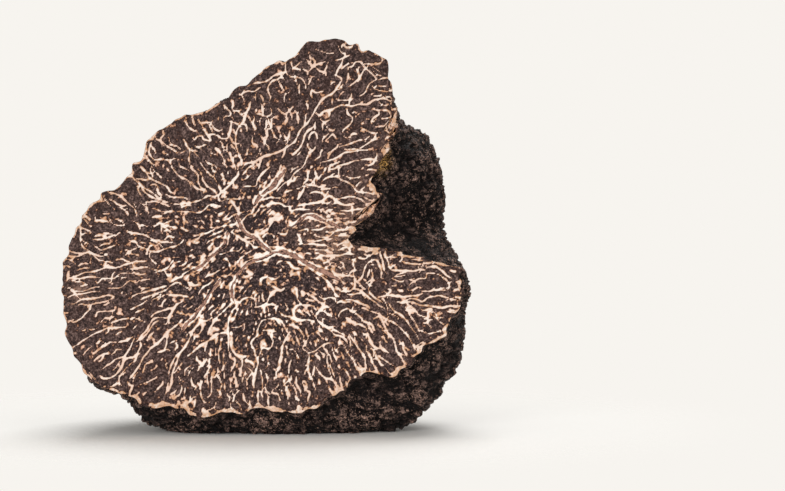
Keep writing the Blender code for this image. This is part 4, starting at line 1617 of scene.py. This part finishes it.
@dataclass(frozen=True)
class SmallVeins:
    """Small veins between the others: a pattern that feeds itself."""

    flesh: Flesh
    seed: int = 6
    fine: tuple[float, float] = (0.56, 1.8)  # pitch of crowded veins in mm, and how drawn out
    coarse: tuple[float, float] = (0.8, 2.2)  # the same for sparse ones
    narrow: float = 0.18  # spread of the bell that feeds a vein, as a share of its pitch
    wide: float = 0.42  # spread of the bell that starves its surroundings
    headings: int = 8  # directions that the pattern is worked out in
    rounds: int = 8
    sharpness: float = 4.0  # how hard a round presses the pattern between -1 and 1
    hold: float = 0.9  # field of a main vein that holds the pattern at 1
    clouds: tuple[tuple[float, int], ...] = ((0.16, 5), (0.5, 3), (1.2, 2))  # size in mm and seed
    feed: tuple[float, float] = (-0.05, 0.5)  # how well a place feeds veins, less where sparse
    feed_clouds: tuple[float, float, float] = (0.3, 0.2, 0.25)  # strength of each of the clouds
    bar: tuple[float, float, float] = (1.3, 0.4, 0.5)  # pull that makes a vein, more far and sparse
    unevenness: float = 0.25
    company_reach: float = 0.35  # spread in mm of the bell that counts veins round a place
    lone: tuple[float, float] = (0.08, 0.14)  # company of a lone dot, and how softly that ends
    lone_drop: float = 1.2  # how far lone dots are pressed down

    def pull(self, feed: np.ndarray, held: np.ndarray) -> np.ndarray:
        """What each place draws out of its surroundings: high in a small vein, low beside one.

        In each round the pattern is blurred with a narrow bell, drawn out along the growth, less
        a wide round bell, and is then pressed between -1 and 1. That keeps veins apart by one
        pitch. The main veins are held at 1 all along, so that small ones stay clear of them or
        join them.

        Args:
            feed: how well each place feeds veins.
            held: least value of the pattern at each place.

        Returns:
            The blurred pattern of the last round.
        """
        grid = self.flesh.grid
        coarse = np.clip(self.flesh.sparse, 0, 1)
        position = (self.flesh.growth % math.pi) / (math.pi / self.headings)
        field = np.random.default_rng(self.seed).standard_normal(grid.shape)
        for turn in range(self.rounds):
            waves = np.fft.rfft2(field)
            pull = np.zeros(grid.shape)
            for heading in range(self.headings):
                off = (position - heading + self.headings / 2) % self.headings - self.headings / 2
                share = np.clip(1 - np.abs(off), 0, 1)
                angle = heading * math.pi / self.headings
                for weight, (pitch, drawn_out) in ((1 - coarse, self.fine), (coarse, self.coarse)):
                    feeding = grid.bell(self.narrow * pitch * drawn_out, self.narrow * pitch, angle)
                    starving = grid.bell(self.wide * pitch, self.wide * pitch)
                    pull += share * weight * grid.from_waves(waves * (feeding - starving))
            pull = pull / (2 * pull.std()) if turn == 0 else pull
            field = np.maximum(np.tanh(self.sharpness * pull + feed), held)
        return pull

    def field(self, main: np.ndarray) -> np.ndarray:
        """Field of the small veins: above 0 where the pull is well above its average.

        Clouds make the veins uneven. Where veins are sparse they are fed less, and a vein takes
        more pull. Lone dots, with few veins round them, are pressed down.

        Args:
            main: field of the main veins and the twigs.

        Returns:
            The field on the grid.
        """
        far, sparse = self.flesh.far, self.flesh.sparse
        grain, tufts, lumps = (self.flesh.grid.clouds(*cloud) for cloud in self.clouds)
        fed, less = self.feed
        by_grain, by_tufts, by_lumps = self.feed_clouds
        feed = fed - less * sparse + by_lumps * lumps + by_tufts * tufts + by_grain * grain
        pull = self.pull(feed, 2 * np.clip(main / self.hold, 0, 1) - 1)
        bar, bar_far, bar_sparse = self.bar
        small = pull / pull.std() + self.unevenness * grain + self.unevenness * lumps
        small = small - bar - bar_far * far - bar_sparse * (sparse - far)
        company = self.flesh.grid.blurred((small > 0).astype(float), self.company_reach)
        lone, soft = self.lone
        return small - self.lone_drop * (1 - ease((company - lone) / soft))


@dataclass(frozen=True)
class Marbling:
    """The marbling of the cut: long listed veins, twigs, and small veins between them."""

    flesh: Flesh = Flesh()
    thinning: float = 0.76  # factor on the widths of the listed veins
    beside: float = 0.12  # field of those veins from which twigs keep away
    twigs_begin: float = 0.35  # least of the flesh's far field where twigs grow
    twigs_seed: int = 22  # what the twigs' wavers are drawn from
    main_slope: float = 1.8  # how steeply the field rises from a main vein's side
    small_slope: float = 0.6
    side: tuple[float, float, float] = (0.6, 2.2, 0.45)  # top, slope, and a channel's field there
    brown: tuple[float, float] = (0.7, 0.15)  # where a channel's brown middle begins, how softly
    brown_drop: float = 1.2
    uneven: Mix = ((0.3, 0.18, 7), (0.2, 0.4, 8))
    calm: float = 0.5  # how much less uneven veins are towards the rind
    least_uneven: float = -0.4

    def main_veins(self) -> np.ndarray:
        """Field of the listed veins, and of the twigs grown between them.

        Returns:
            The field on the grid.
        """
        grid, brush = self.flesh.grid, self.flesh.brush
        right, up = grid.places
        main = brush.drawn(MAIN_VEINS, self.thinning)
        outside = np.hypot(right, up) > radius_around(CUT_EDGE, angle_of(right, up))
        taken = (main > self.beside) | (self.flesh.far < self.twigs_begin) | outside
        twigs = Twigs(grid)
        grown = twigs.grown_between(taken, self.flesh.growth, self.flesh.sparse)
        return main + brush.drawn(grown, twigs.widening, self.twigs_seed)

    def channels(self, veins: np.ndarray) -> np.ndarray:
        """A field of veins or the channels' pale sides, whichever is higher."""
        top, slope, place = self.side
        return np.maximum(veins, top - slope * np.abs(self.flesh.channel - place))

    def field(self) -> np.ndarray:
        """The marbling: above 0 inside a vein and below 0 in the flesh.

        It is the highest of the small veins, the main ones and the channels' pale sides, made
        uneven by clouds, and less the channels' brown middles.

        Returns:
            The field on the grid.
        """
        main = self.main_veins()
        small = SmallVeins(self.flesh).field(main)
        veins = self.channels(np.maximum(small * self.small_slope, (main - 0.5) * self.main_slope))
        uneven = self.flesh.grid.mixed(self.uneven) * (1 - self.calm * self.flesh.far)
        uneven = np.maximum(uneven, self.least_uneven)
        begin, soft = self.brown
        return veins + uneven - self.brown_drop * np.clip((self.flesh.channel - begin) / soft, 0, 1)


@dataclass(frozen=True)
class CutFace:
    """The flat cut, with its marbling and its slightly rounded ragged edge. Sizes are in mm."""

    rim: Rim
    placement: Placement
    marbling: Marbling = Marbling()
    spacing: float = 0.17  # of the lattice
    moves: int = 3  # times that its outer corners move nearer to the rim
    vein_rise: float = 0.03  # how far the veins stand in front of the flesh
    rounding_reach: float = 0.7  # how far in from the rim the rounding starts
    vein_foot: float = 0.2  # how far outside a vein, in its field, its rise starts
    band_uneven: tuple[float, float] = (0.9, 0.25)  # of the pale band's width, and of its field
    band_lumps: Mix = ((1.0, 0.45, 31), (0.5, 0.2, 34))
    band_edge: float = 0.3  # how softly the band ends
    band_top: float = 0.4  # most that its field comes to
    rim_glow: float = 1.3  # width of the warmer zone along the rim
    bend: float = 0.1  # how far clouds bend the veins
    bend_clouds: tuple[tuple[float, int], ...] = ((0.6, 32), (0.6, 33))  # sizes and seeds
    finish: CutFinish = CutFinish()

    def lattice(self) -> tuple[np.ndarray, np.ndarray, np.ndarray]:
        """A square grid cut off at the rim.

        Cells with a corner inside the rim are kept. Their corners outside it move on to it,
        first along the slope of (radius - rim's radius), which is the shortest way, and at last
        along the radius.

        Returns:
            The x and z of the points, in mm, and the faces as rows of four point numbers.
        """
        x, z = np.meshgrid(np.arange(*ACROSS, self.spacing), np.arange(*UPRIGHT, self.spacing))
        inside = np.hypot(x, z) < self.rim.radius(x, z)
        cell = inside[:-1, :-1] | inside[1:, :-1] | inside[:-1, 1:] | inside[1:, 1:]
        row, column = np.nonzero(cell)
        first = row * x.shape[1] + column
        faces = np.stack((first, first + 1, first + 1 + x.shape[1], first + x.shape[1]), axis=-1)
        used, faces = np.unique(faces, return_inverse=True)
        x, z, inside = x.ravel()[used], z.ravel()[used], inside.ravel()[used]
        for _ in range(self.moves):
            tilt = -steepness(angle_of(x, z))
            radius = np.hypot(x, z)
            beyond = np.where(inside, 0, radius - self.rim.radius(x, z)) / (1 + tilt**2)
            x, z = x - beyond * (x - tilt * z) / radius, z - beyond * (z + tilt * x) / radius
        onto = np.where(inside, 1, self.rim.radius(x, z) / np.hypot(x, z))
        return x * onto, z * onto, faces.reshape(-1, 4)

    def from_rim(self, x: np.ndarray, z: np.ndarray) -> np.ndarray:
        """Rough distance from the rim in mm, with the slope of the rim's radius allowed for."""
        slope = np.sqrt(1 + steepness(angle_of(x, z)) ** 2)
        return (self.rim.radius(x, z) - np.hypot(x, z)) / slope

    def band(self, x: np.ndarray, z: np.ndarray, edge: np.ndarray) -> np.ndarray:
        """The lumpy pale band along the rim, as a field like the marbling's.

        Args:
            x: places to the right of the heart, in mm.
            z: places above it.
            edge: their distances from the rim.

        Returns:
            The field: above 0 in the band and below 0 away from it.
        """
        grid = self.marbling.flesh.grid
        lumps = grid.sample(grid.mixed(self.band_lumps), x, z)
        width = radius_around(RIM_BAND, angle_of(x, z)) * (1 + self.band_uneven[0] * lumps)
        band = (width / 2 - np.abs(edge - width / 2)) / self.band_edge
        return np.minimum(band + self.band_uneven[1] * lumps, self.band_top)

    def build(self) -> bpy.types.Object:
        """Makes the cut face.

        The veins stand a little in front of the flesh, and the surface rounds off backwards
        towards the rim.

        Returns:
            The piece.
        """
        flesh, grid = self.marbling.flesh, self.marbling.flesh.grid
        x, z, faces = self.lattice()
        edge = self.from_rim(x, z)
        bent = [grid.sample(grid.clouds(*cloud), x, z) * self.bend for cloud in self.bend_clouds]
        vein = grid.sample(self.marbling.field(), x + bent[0], z + bent[1])
        vein = np.maximum(vein, self.band(x, z, edge))
        rounding = self.rim.rounding * (1 - ease(edge / self.rounding_reach))
        relief = rounding - self.vein_rise * ease(vein + self.vein_foot) * ease(edge)
        return make_piece(
            "cut_face",
            self.placement.world(np.stack((x, relief + self.vein_rise, z), axis=-1)),
            faces,
            Slot.FLESH,
            self.finish,
            vein=vein,
            far=grid.sample(flesh.far, x, z),
            pale=with_patches(np.zeros(len(x)), x, z, PALE_PATCHES),
            channel=grid.sample(np.clip(flesh.channel, 0, 1), x, z),
            rim=ease(self.rim_glow - edge),
        )


@dataclass(frozen=True)
class Lamp:
    """A soft square lamp that faces the truffle. Lengths are in metres."""

    name: str
    place: tuple[float, float, float]
    side: float
    watts: float

    def build(self, target: Vector) -> None:
        """Hangs the lamp and turns it.

        Args:
            target: the place that it faces.
        """
        light = bpy.data.lights.new(self.name, "AREA")
        light.size = self.side
        light.energy = self.watts
        lamp = bpy.data.objects.new(self.name, light)
        lamp.location = self.place
        lamp.rotation_euler = (target - Vector(self.place)).to_track_quat("-Z", "Y").to_euler()
        bpy.context.scene.collection.objects.link(lamp)


@dataclass(frozen=True)
class Studio:
    """Pale room, pale floor, soft lamps and the camera. Lengths are in metres."""

    placement: Placement
    room: Colour = (0.93, 0.905, 0.863)
    room_light: float = 0.45  # strength at which the room lights the truffle
    floor_radius: float = 0.3
    floor_sides: int = 96
    view_width: float = 0.1256  # at the truffle
    distance: float = 0.8
    elevation: float = 3.5  # degrees that the camera looks down
    aim: tuple[float, float] = (24.4, 5.5)  # place at the picture's middle, in mm from the heart
    sensor: float = 36.0  # mm
    lamps: tuple[Lamp, ...] = (
        Lamp("key_lamp", (-0.4, -0.8, 0.16), 0.4, 4.1),
        Lamp("fill_lamp", (0.6, -0.6, 0.12), 0.5, 1.8),
        Lamp("top_lamp", (0.1, 0.25, 0.7), 0.5, 3.8),
    )

    def build(self) -> None:
        """Makes everything that isn't part of the truffle."""
        self.light_room()
        self.lay_floor()
        target = Vector(self.placement.heart)
        for lamp in self.lamps:
            lamp.build(target)
        self.set_camera()

    def light_room(self) -> None:
        """A room of one colour that shows at full strength and lights less."""
        world = bpy.data.worlds.new("pale_room")
        tree = Tree(world)
        lights, shows = (
            tree.node("ShaderNodeBackground", sockets={"Color": (*self.room, 1.0), "Strength": strength})
            for strength in (self.room_light, 1.0)
        )
        seen = tree.node("ShaderNodeLightPath", output="Is Camera Ray")
        room = tree.node("ShaderNodeMixShader", sockets={0: seen, 1: lights, 2: shows})
        tree.node("ShaderNodeOutputWorld", sockets={"Surface": room})
        bpy.context.scene.world = world
        bpy.context.scene.view_settings.view_transform = "Standard"

    def lay_floor(self) -> None:
        """A round table top: one flat face whose corners lie on a circle."""
        turn = np.arange(self.floor_sides) * 2 * math.pi / self.floor_sides
        ring = np.stack((np.cos(turn), np.sin(turn), np.zeros(len(turn))), axis=-1) * self.floor_radius
        mesh = bpy.data.meshes.new("floor")
        mesh.from_pydata(ring.tolist(), [], [list(range(len(ring)))])
        mesh.materials.append(FloorFinish().material())
        floor = bpy.data.objects.new("floor", mesh)
        bpy.context.scene.collection.objects.link(floor)

    def set_camera(self) -> None:
        """A long lens that looks squarely at the cut from a little above it."""
        aim = self.placement.world(np.array((self.aim[0], 0.0, self.aim[1])))
        tilt = math.radians(self.elevation)
        back = Vector((0, -math.cos(tilt), math.sin(tilt))) * self.distance
        lens = bpy.data.cameras.new("camera")
        lens.sensor_width = self.sensor
        lens.lens = self.sensor * self.distance / self.view_width
        camera = bpy.data.objects.new("camera", lens)
        camera.location = Vector(aim) + back
        camera.rotation_euler = (-back).to_track_quat("-Z", "Y").to_euler()
        bpy.context.scene.collection.objects.link(camera)
        bpy.context.scene.camera = camera


def main() -> None:
    """Builds the room and the truffle, and logs how many points and faces each piece has."""
    logging.basicConfig(level=logging.INFO, format="%(message)s")
    body = Body()
    placement = Placement.of(body)
    rim = Rim(Warts(), body)
    Studio(placement).build()
    for part in (Rind(body, rim, placement), CutFace(rim, placement)):
        piece = part.build()
        log.info("%s: %d points, %d faces", piece.name, len(piece.data.vertices), len(piece.data.polygons))
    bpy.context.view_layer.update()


if __name__ == "__main__":
    main()
